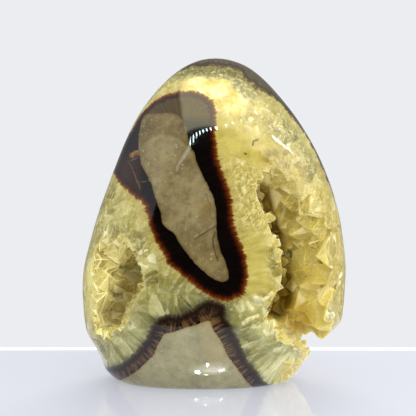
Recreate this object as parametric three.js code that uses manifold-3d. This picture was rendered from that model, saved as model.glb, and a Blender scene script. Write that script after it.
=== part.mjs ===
// A polished septarian nodule that stands on a small flat base: an egg of limestone, aragonite and
// calcite with two open fissures in its front face. Each fissure is lined by a crust of flat-faced
// calcite crystals that are ground off flush wherever they reach the polished outside.
// Millimetres. +Z is up, -Y is the front face, and the origin is under the middle on the base plane.
import * as THREE from "three";
import { mergeVertices } from "three/addons/utils/BufferGeometryUtils.js";
import Module from "manifold-3d";

const wasm = await Module();
wasm.setup();

// ---- driving dimensions ----
const BODY_RINGS = 28; // horizontal rings between base and crown
const BODY_SIDES = 40; // points round each ring
const BODY_SQUARENESS = 2.25; // 2 is a plain ellipse, more is fuller at the corners
const HOLLOW_RINGS = 12;
const HOLLOW_SIDES = 18;
const HOLLOW_SQUARENESS = 2;
const CRUST_GAP = 0.3; // clearance between a crust and the stone that it sits in

// Heights of the body, from base to crown. Each row is one horizontal section:
// [height, left edge, right edge, front edge, back edge].
const BODY_SECTIONS = [
  [0, -36.8, 27.4, -18, 17],
  [1.2, -40.1, 30.2, -20.6, 19.6],
  [5, -44, 33.4, -24, 23],
  [9.2, -45.6, 36, -26.6, 25.6],
  [14, -47.9, 39.8, -28.8, 27.8],
  [19.5, -50.9, 46.2, -30.8, 29.6],
  [24.8, -52.1, 51, -32.2, 31],
  [30, -52.6, 52.1, -32.8, 32.4],
  [38, -52.9, 52.7, -33.5, 33.4],
  [47, -52.1, 52.9, -33.7, 33.7],
  [58, -49.3, 51.7, -33, 33],
  [68, -46.3, 49.9, -32.4, 31.4],
  [78, -42.7, 47, -30.4, 29.8],
  [88, -38.9, 43.1, -27.8, 27.6],
  [97, -35.2, 38.5, -25, 25.2],
  [106, -30.7, 32.8, -21.8, 22.6],
  [114.4, -24.8, 26.2, -17.8, 19.2],
  [121.6, -18, 19.4, -12.8, 14.8],
  [126.4, -11.4, 12.9, -7.6, 10.2],
  [129, -4.9, 6, -2.4, 5],
  [129.6, 0.4, 0.8, 1, 1.4],
];

// The hollows are sections of the same kind, whose front edge lies in the open air before the stone.
// A sixth number is the lean: how far the deepest point lies to the right of the section's middle.
// Crystals stand in rows up the wall of a hollow. Each row starts and ends at the given shares of a
// full turn round the section, where 0 points right and 0.25 points to the back.
const OPEN_AIR = -62;
const RIGHT_HOLLOW = {
  crust: 1.6, // thickness of the solid calcite behind the crystals
  sections: [
    [14.5, 37, 47, OPEN_AIR, 6, 0],
    [18, 29, 53, OPEN_AIR, 13, -3],
    [22, 23.4, 53.4, OPEN_AIR, 15, -7],
    [26.5, 21, 52, OPEN_AIR, 14, -9],
    [31, 17.8, 51, OPEN_AIR, 12, -10],
    [37, 21, 51, OPEN_AIR, 11, -10],
    [45, 24.6, 51.6, OPEN_AIR, 10, -11],
    [54, 24.4, 51.8, OPEN_AIR, 8, -11],
    [62, 21.4, 50.6, OPEN_AIR, 5, -11],
    [70, 18.6, 47.4, OPEN_AIR, 1, -10],
    [78, 16.2, 42, OPEN_AIR, -3, -8],
    [85, 17.6, 36, OPEN_AIR, -8, -5],
    [91, 23, 28, OPEN_AIR, -18, 0],
  ],
  rows: [
    { rows: 9, columns: 6, from: -0.06, to: 0.3, radius: 6.6, seed: 100 },
    { rows: 11, columns: 3, from: 0.32, to: 0.58, radius: 3.8, seed: 2100 },
  ],
};
const LEFT_HOLLOW = {
  crust: 1.6,
  sections: [
    [16.6, -47, -43, OPEN_AIR, -14, 0],
    [20.6, -49.4, -40, OPEN_AIR, -9, 2],
    [26, -51.4, -34.6, OPEN_AIR, -4, 4],
    [31, -52, -32.6, OPEN_AIR, -1, 5],
    [37, -52.8, -30, OPEN_AIR, 2, 6],
    [43, -53, -26, OPEN_AIR, 3, 7],
    [50, -52.6, -27.4, OPEN_AIR, 1, 6],
    [56, -50.6, -29.6, OPEN_AIR, -3, 4],
    [61, -45.4, -33, OPEN_AIR, -9, 2],
    [65, -39.4, -36, OPEN_AIR, -17, 0],
  ],
  rows: [
    { rows: 5, columns: 5, from: 0.22, to: 0.56, radius: 5.8, seed: 9100 },
    { rows: 7, columns: 3, from: -0.08, to: 0.2, radius: 3.8, seed: 9900 },
  ],
};
// The slot by which the right fissure breaks out through the side of the stone, from front to back.
const SIDE_SLOT = {
  crust: 1,
  sections: [
    [10.6, 42, 62, -48, 46],
    [12, 36, 66, -52, 50],
    [14.2, 32.2, 68, -54, 52],
    [16.8, 32.6, 68, -54, 52],
    [19.2, 38, 64, -50, 48],
  ],
  rows: [{ rows: 2, columns: 10, from: 0.3, to: 0.7, radius: 2.8, seed: 5100 }],
};

// A repeatable stand-in for chance: a number from 0 to 1 for each whole number n.
const chance = (n) => {
  const wave = Math.sin(n * 12.9898) * 43758.5453;
  return wave - Math.floor(wave);
};
const spread = (n, low, high) => low + (high - low) * chance(n);

// ---- sections to solids ----

// The section at share t of the way along a list of sections, on a smooth curve through them all.
function sectionAt(sections, t) {
  const last = sections.length - 1;
  const place = Math.min(Math.max(t, 0), 1) * last;
  const i = Math.min(Math.floor(place), last - 1);
  const f = place - i;
  const [a, b, c, d] = [i - 1, i, i + 1, i + 2].map(
    (k) => sections[Math.min(Math.max(k, 0), last)],
  );
  return b.map((value, k) => {
    const [slopeB, slopeC] = [(c[k] - a[k]) / 2, (d[k] - value) / 2];
    const gap = c[k] - value;
    const bend = 3 * gap - 2 * slopeB - slopeC;
    const twist = slopeB + slopeC - 2 * gap;
    return value + f * (slopeB + f * (bend + f * twist));
  });
}

// A point of a section's outline at an angle round it, with the outline drawn in by inset.
function outlinePoint(section, angle, squareness, inset = 0) {
  const [height, left, right, front, back, lean = 0] = section;
  const halfWidth = Math.max((right - left) / 2 - inset, 0.05);
  const halfDepth = Math.max((back - front) / 2 - inset, 0.05);
  const round = (v) => Math.sign(v) * Math.abs(v) ** (2 / squareness);
  const deep = round(Math.sin(angle));
  return new THREE.Vector3(
    (left + right) / 2 + halfWidth * round(Math.cos(angle)) + lean * Math.max(deep, 0),
    (front + back) / 2 + halfDepth * deep,
    height,
  );
}

// A closed solid through all the sections, capped flat at its lowest and highest one, with every
// side and both caps drawn in by inset.
function sectionSolid(sections, rings, sides, squareness, inset = 0) {
  const positions = [];
  const faces = [];
  const point = (v) => positions.push(v.x, v.y, v.z);
  const span = sections.at(-1)[0] - sections[0][0];
  for (let i = 0; i <= rings; i++) {
    const section = sectionAt(sections, i / rings);
    const share = (section[0] - sections[0][0]) / span;
    section[0] += inset * (1 - 2 * share);
    for (let j = 0; j < sides; j++)
      point(outlinePoint(section, (2 * Math.PI * j) / sides, squareness, inset));
  }
  for (let i = 0; i < rings; i++)
    for (let j = 0; j < sides; j++) {
      const [a, b] = [i * sides + j, i * sides + ((j + 1) % sides)];
      faces.push(a, b, b + sides, a, b + sides, a + sides);
    }
  const top = rings * sides;
  for (let j = 1; j < sides - 1; j++) faces.push(0, j + 1, j, top, top + j, top + j + 1);
  return solidOf(positions, faces);
}

function solidOf(positions, faces) {
  const geometry = new THREE.BufferGeometry();
  geometry.setAttribute("position", new THREE.Float32BufferAttribute(positions, 3));
  geometry.setIndex(faces);
  return solidFrom(geometry);
}

function solidFrom(geometry) {
  const bare = mergeVertices(geometry.deleteAttribute("normal").deleteAttribute("uv"));
  return new wasm.Manifold(
    new wasm.Mesh({
      numProp: 3,
      vertProperties: bare.attributes.position.array,
      triVerts: new Uint32Array(bare.index.array),
    }),
  );
}

function meshOf(name, solid, material) {
  const { numProp, numVert, vertProperties, triVerts } = solid.getMesh();
  const positions = new Float32Array(numVert * 3);
  for (let i = 0; i < numVert; i++)
    positions.set(vertProperties.subarray(i * numProp, i * numProp + 3), i * 3);
  const geometry = new THREE.BufferGeometry();
  geometry.setAttribute("position", new THREE.BufferAttribute(positions, 3));
  geometry.setIndex(new THREE.BufferAttribute(triVerts, 1));
  geometry.computeVertexNormals();
  const mesh = new THREE.Mesh(geometry, material);
  mesh.name = name;
  return mesh;
}

// ---- crystals ----

// A calcite point: two blunt pyramids on a six-cornered belt that zigzags up and down.
function crystal(radius, length, zigzag) {
  const corners = [0, 0, length, 0, 0, -length];
  const faces = [];
  for (let k = 0; k < 6; k++) {
    const angle = (k * Math.PI) / 3;
    corners.push(
      radius * Math.cos(angle),
      radius * Math.sin(angle),
      length * zigzag * (k % 2 ? -1 : 1),
    );
    const [here, next] = [2 + k, 2 + ((k + 1) % 6)];
    faces.push(0, here, next, 1, next, here);
  }
  const geometry = new THREE.BufferGeometry();
  geometry.setAttribute("position", new THREE.Float32BufferAttribute(corners, 3));
  geometry.setIndex(faces);
  return geometry;
}

// The body of the stone before anything was broken out of it.
const outside = sectionSolid(BODY_SECTIONS, BODY_RINGS, BODY_SIDES, BODY_SQUARENESS);

const hollow = ({ sections }, inset) =>
  sectionSolid(sections, HOLLOW_RINGS, HOLLOW_SIDES, HOLLOW_SQUARENESS, inset);

// Whether a point lies inside a hollow's crust.
function isInside({ sections, crust }, p) {
  if (p.z <= sections[0][0] + crust || p.z >= sections.at(-1)[0] - crust) return false;
  let [t0, t1] = [0, 1];
  for (let n = 0; n < 24; n++) {
    const t = (t0 + t1) / 2;
    if (sectionAt(sections, t)[0] < p.z) t0 = t;
    else t1 = t;
  }
  const [, left, right, front, back, lean = 0] = sectionAt(sections, t0);
  const along = (p.y - (front + back) / 2) / ((back - front) / 2 - crust);
  const middle = (left + right) / 2 + lean * Math.max(along, 0);
  const across = (p.x - middle) / ((right - left) / 2 - crust);
  return across ** 2 + along ** 2 < 1;
}

// A row set's crystals on the wall of their home hollow, each with its own size, tilt and turn, apart
// from those whose foot would hang in a neighbouring hollow.
function crystalsOn(home, { rows, columns, from, to, radius, seed }, neighbours) {
  const grown = [];
  const wall = (t, angle) =>
    outlinePoint(sectionAt(home.sections, t), angle, HOLLOW_SQUARENESS, home.crust);
  for (let i = 0; i < rows; i++)
    for (let j = 0; j < columns; j++) {
      const n = seed + 16 * (i * columns + j);
      const t = (i + spread(n, 0.2, 0.8)) / rows;
      const share = (j + 0.5 * (i % 2) + spread(n + 1, 0, 0.6)) / columns;
      const angle = 2 * Math.PI * (from + (to - from) * share);
      const foot = wall(t, angle);
      if (neighbours.some((other) => isInside(other, foot))) continue;
      const upward = wall(t + 0.01, angle).sub(wall(t - 0.01, angle));
      const around = wall(t, angle + 0.02).sub(wall(t, angle - 0.02));
      const inward = upward.cross(around).normalize();
      inward.x += spread(n + 2, -0.6, 0.6);
      inward.y += spread(n + 3, -0.6, 0.6);
      inward.z += spread(n + 4, -0.6, 0.6);
      const size = radius * spread(n + 5, 0.7, 1.3);
      const shape = crystal(size, size * spread(n + 6, 0.8, 1.2), spread(n + 7, 0.22, 0.33));
      shape.rotateZ(spread(n + 8, 0, 2 * Math.PI));
      const turn = new THREE.Quaternion();
      turn.setFromUnitVectors(new THREE.Vector3(0, 0, 1), inward.normalize());
      shape.applyQuaternion(turn);
      shape.translate(foot.x, foot.y, foot.z);
      grown.push(solidFrom(shape));
    }
  return grown;
}

// A crust fills its hollows' wall from the gap inwards, with its crystals ground flush outside.
function crustOf(hollows) {
  const crystals = hollows.flatMap((home) => {
    const neighbours = hollows.filter((other) => other !== home);
    return home.rows.flatMap((rowSet) => crystalsOn(home, rowSet, neighbours));
  });
  const space = wasm.Manifold.union(hollows.map((h) => hollow(h, CRUST_GAP)));
  const inner = wasm.Manifold.union(hollows.map((h) => hollow(h, h.crust)));
  const whole = wasm.Manifold.union([space.subtract(inner), ...crystals]);
  const pieces = whole.intersect(space).intersect(outside).decompose();
  return pieces.sort((a, b) => b.volume() - a.volume())[0];
}

const stone = [RIGHT_HOLLOW, SIDE_SLOT, LEFT_HOLLOW].reduce(
  (rest, each) => rest.subtract(hollow(each, 0)),
  outside,
);

const polished = new THREE.MeshStandardMaterial({ color: 0x8a7a52, roughness: 0.12 });
const calcite = new THREE.MeshStandardMaterial({ color: 0xd9c468, roughness: 0.25 });

const septarianNodule = new THREE.Group();
septarianNodule.add(
  meshOf("nodule", stone, polished),
  meshOf("right_hollow_crystals", crustOf([RIGHT_HOLLOW, SIDE_SLOT]), calcite),
  meshOf("left_hollow_crystals", crustOf([LEFT_HOLLOW]), calcite),
);

export default septarianNodule;
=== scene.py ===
# %% [markdown]
# # A polished septarian nodule
#
# A septarian nodule is a lump of clay limestone that shrank and cracked on the sea bed. Two minerals
# filled the cracks, one after the other: first dark brown aragonite, as a band of fine needles on each
# piece of limestone, then yellow calcite. Here the whole lump was sawn, ground to an egg and polished,
# and two fissures that the calcite never quite filled stay open in the front, lined with crystals.
#
# The plan has four parts. The stone and its hollows are solids made from a list of sections, with the
# same numbers as the CAD model. The crystals are cut out of the hollows' air with Boolean modifiers.
# Each point of the surface then gets a few numbers, such as its distance to the nearest dark band. The
# materials read those numbers and the point's own place, so every pattern is sharp at any size.

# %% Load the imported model
import math

import bmesh
import bpy
import numpy as np
from mathutils import Matrix, Quaternion, Vector
from mathutils.kdtree import KDTree


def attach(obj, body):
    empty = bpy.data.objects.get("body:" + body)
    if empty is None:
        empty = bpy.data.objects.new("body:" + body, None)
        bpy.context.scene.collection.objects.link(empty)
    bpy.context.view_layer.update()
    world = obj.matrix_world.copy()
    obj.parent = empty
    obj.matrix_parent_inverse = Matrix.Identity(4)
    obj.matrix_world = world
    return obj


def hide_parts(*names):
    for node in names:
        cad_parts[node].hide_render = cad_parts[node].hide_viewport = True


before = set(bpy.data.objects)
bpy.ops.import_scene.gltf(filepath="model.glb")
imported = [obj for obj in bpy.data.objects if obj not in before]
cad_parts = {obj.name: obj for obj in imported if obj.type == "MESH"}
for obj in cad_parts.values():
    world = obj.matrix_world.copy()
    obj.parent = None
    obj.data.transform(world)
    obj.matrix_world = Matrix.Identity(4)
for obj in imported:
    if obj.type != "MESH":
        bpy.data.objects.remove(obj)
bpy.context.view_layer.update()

scene = bpy.context.scene
MM = 0.001

# %% [markdown]
# ## The camera
#
# The camera comes first, because the markings on the front face are drawn as seen from it. It stands
# 450 mm away, a little above the middle of the stone, and looks down by five degrees. A camera could
# be turned by three angles, but a direction to look along is easier to check: to_track_quat turns
# that direction into the camera's own rotation.

# %% Place the camera
VIEW_DISTANCE = 450
VIEW_DOWN = math.radians(5)
VIEW_TARGET = np.array([-2.4, 0, 69.8])
FRAME_WIDTH = 167.4  # how much of the world, in mm, the square picture takes in at the target

look = np.array([0, math.cos(VIEW_DOWN), -math.sin(VIEW_DOWN)])
viewpoint = VIEW_TARGET - VIEW_DISTANCE * look
camera = bpy.data.objects.new("camera", bpy.data.cameras.new("camera"))
scene.collection.objects.link(camera)
camera.data.sensor_fit = "HORIZONTAL"
camera.data.angle = 2 * math.atan(FRAME_WIDTH / 2 / VIEW_DISTANCE)
camera.data.clip_start = 0.01
camera.location = Vector(viewpoint * MM)
camera.rotation_euler = Vector(look).to_track_quat("-Z", "Y").to_euler()
scene.camera = camera
print("camera at", [round(v, 3) for v in camera.location])

# %% [markdown]
# ## The stone as a list of sections
#
# A ground and polished pebble has no edges and no flat places but its base. It could be sculpted, or
# be a sphere under a lattice. A list of horizontal sections is simpler to read and to change: each
# row gives a height and how far the stone reaches left, right, front and back there. Between rows the
# values follow a smooth curve, and each section is an ellipse that is a little fuller at the corners.

# %% Sections of the stone, from base to crown
# Each row: height, left edge, right edge, front edge, back edge, in millimetres.
STONE_SECTIONS = [
    [0, -36.8, 27.4, -18, 17],
    [1.2, -40.1, 30.2, -20.6, 19.6],
    [5, -44, 33.4, -24, 23],
    [9.2, -45.6, 36, -26.6, 25.6],
    [14, -47.9, 39.8, -28.8, 27.8],
    [19.5, -50.9, 46.2, -30.8, 29.6],
    [24.8, -52.1, 51, -32.2, 31],
    [30, -52.6, 52.1, -32.8, 32.4],
    [38, -52.9, 52.7, -33.5, 33.4],
    [47, -52.1, 52.9, -33.7, 33.7],
    [58, -49.3, 51.7, -33, 33],
    [68, -46.3, 49.9, -32.4, 31.4],
    [78, -42.7, 47, -30.4, 29.8],
    [88, -38.9, 43.1, -27.8, 27.6],
    [97, -35.2, 38.5, -25, 25.2],
    [106, -30.7, 32.8, -21.8, 22.6],
    [114.4, -24.8, 26.2, -17.8, 19.2],
    [121.6, -18, 19.4, -12.8, 14.8],
    [126.4, -11.4, 12.9, -7.6, 10.2],
    [129, -4.9, 6, -2.4, 5],
    [129.6, 0.4, 0.8, 1, 1.4],
]


def smooth_rows(rows, shares):
    """Rows at the given shares of the way through a list, on a smooth curve through all of it."""
    rows = np.array(rows, float)
    last = len(rows) - 1
    place = np.clip(shares, 0, 1) * last
    i = np.minimum(place.astype(int), last - 1)
    f = (place - i)[:, None]
    before, here, after, beyond = [rows[np.clip(i + k, 0, last)] for k in (-1, 0, 1, 2)]
    slope_here, slope_after = (after - before) / 2, (beyond - here) / 2
    gap = after - here
    bend = 3 * gap - 2 * slope_here - slope_after
    return here + f * (slope_here + f * (bend + f * (slope_here + slope_after - 2 * gap)))


print("half way up the list the stone reaches", smooth_rows(STONE_SECTIONS, [0.5])[0].round(1))


# %% Points round a section
LEAST_RADIUS = 0.05  # mm, so that an inset never turns a section inside out


def fuller(wave, squareness):
    """A sine or cosine, made larger between its ends so that a circle drawn with it gets corners."""
    return np.sign(wave) * np.abs(wave) ** (2 / squareness)


def section_points(sections, angles, squareness, inset=0):
    """For matching arrays of sections and angles, the points of the outlines drawn in by inset."""
    height, left, right, front, back = sections[:, :5].T
    lean = sections[:, 5] if sections.shape[1] > 5 else 0
    across, deep = fuller(np.cos(angles), squareness), fuller(np.sin(angles), squareness)
    x = (left + right) / 2 + np.maximum((right - left) / 2 - inset, LEAST_RADIUS) * across
    y = (front + back) / 2 + np.maximum((back - front) / 2 - inset, LEAST_RADIUS) * deep
    return np.stack([x + lean * np.maximum(deep, 0), y, height], axis=-1)


def section_rings(sections, shares, sides, squareness, inset=0):
    """An array of rings of points, one ring for each share of the way up the list."""
    rows = smooth_rows(sections, shares)
    low, high = sections[0][0], sections[-1][0]
    rows[:, 0] += inset * (1 - 2 * (rows[:, 0] - low) / (high - low))
    angles = 2 * np.pi * np.arange(sides) / sides
    grid_rows = np.repeat(rows, sides, axis=0)
    points = section_points(grid_rows, np.tile(angles, len(rows)), squareness, inset)
    return points.reshape(len(rows), sides, 3)


print("rings, points in a ring, numbers in a point:", section_rings(STONE_SECTIONS, [0, 1], 8, 2).shape)


# %% Meshes from points and from rings
def mesh_from(name, points, faces, smooth=False):
    """A linked object from points in millimetres and lists of corner numbers."""
    mesh = bpy.data.meshes.new(name)
    mesh.from_pydata((np.asarray(points) * MM).tolist(), [], faces)
    mesh.polygons.foreach_set("use_smooth", [smooth] * len(mesh.polygons))
    made = bpy.data.objects.new(name, mesh)
    scene.collection.objects.link(made)
    return made


def ring_solid(name, rings, smooth=False):
    """A closed solid through rings of points, with a flat fan of faces over its first and last one."""
    count, sides = rings.shape[:2]
    j = np.arange(sides)
    k = (j + 1) % sides
    start = (np.arange(count - 1) * sides)[:, None]
    quads = np.stack([start + j, start + k, start + sides + k, start + sides + j], axis=-1)
    middles = [rings[0].mean(axis=0), rings[-1].mean(axis=0)]
    points = np.vstack([rings.reshape(-1, 3), middles])
    bottom, top = count * sides, count * sides + 1
    under = np.stack([np.full(sides, bottom), k, j], axis=-1)
    over = np.stack([np.full(sides, top), (count - 1) * sides + j, (count - 1) * sides + k], axis=-1)
    faces = quads.reshape(-1, 4).tolist() + under.tolist() + over.tolist()
    return mesh_from(name, points, faces, smooth)


# %% Build the stone without its hollows
STONE_SQUARENESS = 2.25  # 2 is a plain ellipse, more is fuller at the corners
STONE_RINGS = 180
STONE_SIDES = 330

# The rings stand evenly along the outline rather than evenly up the list, with a little more weight on
# height, so that the faces come out much the same size from base to crown.
HEIGHT_WEIGHT = 1.4
fine = np.linspace(0, 1, 4000)
outline_rows = smooth_rows(STONE_SECTIONS, fine)
sideways = np.diff(outline_rows[:, 2]) + np.diff(outline_rows[:, 3])
climb = np.hypot(sideways, np.diff(outline_rows[:, 0]) * HEIGHT_WEIGHT)
travelled = np.concatenate([[0], np.cumsum(climb)])
even_shares = np.interp(np.linspace(0, travelled[-1], STONE_RINGS), travelled, fine)
stone_rings = section_rings(STONE_SECTIONS, even_shares, STONE_SIDES, STONE_SQUARENESS)
base_middle = stone_rings[0].mean(axis=0)
base_shares = np.linspace(0.05, 0.97, 22)
base_rings = [base_middle + (stone_rings[0] - base_middle) * share for share in base_shares]
stone = ring_solid("septarian_stone", np.concatenate([base_rings, stone_rings]), smooth=True)
print("stone without hollows:", len(stone.data.polygons), "faces")

# %% [markdown]
# ## The hollows
#
# The two fissures and the slot through which the right one breaks out at the side are solids of the
# same kind, whose front lies in the open air. What is made here is the air in them. The crystals are
# taken out of the air, and the air is then taken out of the stone, so the crystals stay behind as
# part of the stone. Building it that way round needs no crust of its own, and wherever a crystal
# reaches the outside it ends flush with the polish, as a ground crystal does.

# %% Sections of the air in the hollows
# A sixth number is the lean: how far the deepest point lies to the right of the section's middle.
OPEN_AIR = -62
RIGHT_HOLLOW = [
    [14.5, 37, 47, OPEN_AIR, 6, 0],
    [18, 29, 53, OPEN_AIR, 13, -3],
    [22, 23.4, 53.4, OPEN_AIR, 15, -7],
    [26.5, 21, 52, OPEN_AIR, 14, -9],
    [31, 17.8, 51, OPEN_AIR, 12, -10],
    [37, 21, 51, OPEN_AIR, 11, -10],
    [45, 24.6, 51.6, OPEN_AIR, 10, -11],
    [54, 24.4, 51.8, OPEN_AIR, 8, -11],
    [62, 21.4, 50.6, OPEN_AIR, 5, -11],
    [70, 18.6, 47.4, OPEN_AIR, 1, -10],
    [78, 16.2, 42, OPEN_AIR, -3, -8],
    [85, 17.6, 36, OPEN_AIR, -8, -5],
    [91, 23, 28, OPEN_AIR, -18, 0],
]
LEFT_HOLLOW = [
    [16.6, -47, -43, OPEN_AIR, -14, 0],
    [20.6, -49.4, -40, OPEN_AIR, -9, 2],
    [26, -51.4, -34.6, OPEN_AIR, -4, 4],
    [31, -52, -32.6, OPEN_AIR, -1, 5],
    [37, -52.8, -30, OPEN_AIR, 2, 6],
    [43, -53, -26, OPEN_AIR, 3, 7],
    [50, -52.6, -27.4, OPEN_AIR, 1, 6],
    [56, -50.6, -29.6, OPEN_AIR, -3, 4],
    [61, -45.4, -33, OPEN_AIR, -9, 2],
    [65, -39.4, -36, OPEN_AIR, -17, 0],
]
SIDE_SLOT = [
    [10.6, 42, 62, -48, 46, 0],
    [12, 36, 66, -52, 50, 0],
    [14.2, 32.2, 68, -54, 52, 0],
    [16.8, 32.6, 68, -54, 52, 0],
    [19.2, 38, 64, -50, 48, 0],
]
HOLLOW_SQUARENESS = 2
# Each hollow, with how far inside its outline the large crystals have their middle, in mm.
HOLLOWS = {"right": (RIGHT_HOLLOW, 1.6), "left": (LEFT_HOLLOW, 1.6), "slot": (SIDE_SLOT, 1)}
BARE_WALL = 0.4  # how far the bare wall between crystals stands inside the hollow's own outline
for home, (sections, _) in HOLLOWS.items():
    print("the", home, "hollow runs from", sections[0][0], "to", sections[-1][0], "mm up")


# %% [markdown]
# ## The large crystals
#
# Calcite in such fissures grows as blunt points: two six-sided pyramids, base to base, on a belt that
# zigzags. The large ones stand in rows up the wall. They could be scattered like the small ones further
# down, but rows made one by one in mesh code leave no bare patch and keep their sizes under control.

# %% Chance, the same on every run
def chance(n):
    """A number from 0 to 1 that looks random and is always the same for the same n."""
    wave = math.sin(n * 12.9898) * 43758.5453
    return wave - math.floor(wave)


def spread(n, low, high):
    """A number between low and high, by chance."""
    return low + (high - low) * chance(n)


print("three chances:", [round(chance(n), 3) for n in (1, 2, 3)])


# %% One crystal
CRYSTAL_FACES = []
for side in range(6):
    here, after = 2 + side, 2 + (side + 1) % 6
    CRYSTAL_FACES += [(0, here, after), (1, after, here)]


def crystal_points(radius, length, zigzag):
    """Two tips on the Z axis, then the six corners of the belt."""
    points = [(0, 0, length), (0, 0, -length)]
    for side in range(6):
        turn = side * math.pi / 3
        lift = length * zigzag * (-1 if side % 2 else 1)
        points.append((radius * math.cos(turn), radius * math.sin(turn), lift))
    return np.array(points)


print("one crystal:", len(crystal_points(1, 1, 0.27)), "points and", len(CRYSTAL_FACES), "faces")

# %% Rows of large crystals
# Each row set: rows up the wall, crystals in a row, the shares of a full turn round the section
# between which they stand (0 is right, 0.25 is back), their radius, and the seed of their chances.
CRYSTAL_ROWS = {
    "right": [(11, 7, -0.07, 0.31, 6.3, 100), (13, 4, 0.32, 0.5, 2.3, 2100)],
    "left": [(7, 6, 0.2, 0.56, 4.7, 9100), (8, 4, -0.08, 0.2, 2.3, 9900)],
    "slot": [(2, 10, 0.3, 0.7, 2.8, 5100)],
}
SEED_STEP = 16  # how far apart the chances of one crystal and the next are, since each uses several


def wall_point(home, share, angle):
    """The point of a hollow's crystal wall at a share of its height and an angle round it."""
    sections, crust = HOLLOWS[home]
    row = smooth_rows(sections, np.array([share]))
    return section_points(row, np.array([angle]), HOLLOW_SQUARENESS, crust)[0]


def is_inside(home, point):
    """Whether a point lies in a hollow's air."""
    sections, crust = HOLLOWS[home]
    heights = smooth_rows(sections, fine)
    if not sections[0][0] + crust < point[2] < sections[-1][0] - crust:
        return False
    _, left, right, front, back, lean = heights[np.argmin(np.abs(heights[:, 0] - point[2]))]
    along = (point[1] - (front + back) / 2) / ((back - front) / 2 - crust)
    middle = (left + right) / 2 + lean * max(along, 0)
    across = (point[0] - middle) / ((right - left) / 2 - crust)
    return across**2 + along**2 < 1


def row_crystals(home, neighbour):
    """Points of all large crystals of one hollow, apart from those that hang in the neighbour."""
    grown = []
    for rows, columns, start, end, radius, seed in CRYSTAL_ROWS[home]:
        for i in range(rows):
            for j in range(columns):
                n = seed + SEED_STEP * (i * columns + j)
                share = (i + spread(n, 0.2, 0.8)) / rows
                across = (j + 0.5 * (i % 2) + spread(n + 1, 0, 0.6)) / columns
                angle = 2 * math.pi * (start + (end - start) * across)
                foot = wall_point(home, share, angle)
                if neighbour and is_inside(neighbour, foot):
                    continue
                upward = wall_point(home, share + 0.01, angle) - wall_point(home, share - 0.01, angle)
                around = wall_point(home, share, angle + 0.02) - wall_point(home, share, angle - 0.02)
                inward = Vector(np.cross(upward, around)).normalized()
                inward += Vector([spread(n + k, -0.6, 0.6) for k in (2, 3, 4)])
                size = radius * spread(n + 5, 0.7, 1.3)
                length = size * spread(n + 6, 0.8, 1.2)
                points = crystal_points(size, length, spread(n + 7, 0.22, 0.33))
                turn = Matrix.Rotation(spread(n + 8, 0, 2 * math.pi), 3, "Z")
                aim = Vector((0, 0, 1)).rotation_difference(inward.normalized()).to_matrix()
                grown.append(points @ np.array(aim @ turn).T + foot)
    return grown


large_crystals = row_crystals("right", "slot") + row_crystals("slot", "right")
large_crystals += row_crystals("left", None)
print(len(large_crystals), "large crystals")

# %% [markdown]
# ## The small crystals
#
# Between the large points the wall is covered in hundreds of small ones. That is what Geometry Nodes
# are for: the tree scatters points on the wall of the air, sets the same crystal on each, turned and
# sized by chance, and makes real mesh of them. Mesh code could do it too, but in the tree the number
# and the sizes are inputs that can be tried by hand.

# %% A shorthand for filling node trees
class Recipe:
    """A node tree that is filled step by step: each call adds a node and gives back an output."""

    def __init__(self, tree):
        self.tree = tree

    def fill(self, node, inputs):
        """Links each input of a node to the output given for it, or sets it to the value given."""
        for name, source in inputs.items():
            if isinstance(source, bpy.types.NodeSocket):
                self.tree.links.new(source, node.inputs[name])
            else:
                node.inputs[name].default_value = source
        return node

    def add(self, kind, inputs=None, output=0, **settings):
        """A new node, with its settings and inputs filled in. Gives back one of its outputs."""
        node = self.tree.nodes.new(kind)
        for name, setting in settings.items():
            setattr(node, name, setting)
        return self.fill(node, inputs or {}).outputs[output]


# %% A tree that scatters crystals
def scatter_tree():
    tree = bpy.data.node_groups.new("scatter crystals", "GeometryNodeTree")
    face = tree.interface
    face.new_socket("Wall", in_out="INPUT", socket_type="NodeSocketGeometry")
    for name, kind in (
        ("Crystal", "NodeSocketObject"),
        ("Crystals per Square Metre", "NodeSocketFloat"),
        ("Smallest Scale", "NodeSocketFloat"),
        ("Largest Scale", "NodeSocketFloat"),
        ("Seed", "NodeSocketInt"),
        ("Finish", "NodeSocketMaterial"),
    ):
        face.new_socket(name, in_out="INPUT", socket_type=kind)
    face.new_socket("Crystals", in_out="OUTPUT", socket_type="NodeSocketGeometry")
    recipe = Recipe(tree)
    given = tree.nodes.new("NodeGroupInput").outputs
    scattered = recipe.add(
        "GeometryNodeDistributePointsOnFaces",
        {"Mesh": given["Wall"], "Density": given["Crystals per Square Metre"], "Seed": given["Seed"]},
    ).node
    tilt = recipe.add(
        "FunctionNodeRandomValue",
        {0: (-0.7, -0.7, -3.1), 1: (0.7, 0.7, 3.1), "Seed": given["Seed"]},
        data_type="FLOAT_VECTOR",
    )
    turned = recipe.add(
        "FunctionNodeRotateRotation",
        {0: scattered.outputs["Rotation"], 1: tilt},
        rotation_space="LOCAL",
    )
    scale = recipe.add(
        "FunctionNodeRandomValue",
        {2: given["Smallest Scale"], 3: given["Largest Scale"], "Seed": given["Seed"]},
        output=1,
        data_type="FLOAT",
    )
    shape = recipe.add("GeometryNodeObjectInfo", {"Object": given["Crystal"]}, output="Geometry")
    placed = recipe.add(
        "GeometryNodeInstanceOnPoints",
        {"Points": scattered.outputs["Points"], "Instance": shape, "Rotation": turned, "Scale": scale},
    )
    real = recipe.add("GeometryNodeRealizeInstances", {0: placed})
    finished = recipe.add("GeometryNodeSetMaterial", {"Geometry": real, "Material": given["Finish"]})
    recipe.fill(tree.nodes.new("NodeGroupOutput"), {"Crystals": finished})
    return tree


crystal_scatter = scatter_tree()
print("nodes that scatter crystals:", len(crystal_scatter.nodes))

# %% Materials by name, filled further down
polished_finish = bpy.data.materials.new("polished stone")
crystal_finish = bpy.data.materials.new("calcite crystals")
print("materials:", polished_finish.name, "and", crystal_finish.name)


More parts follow.
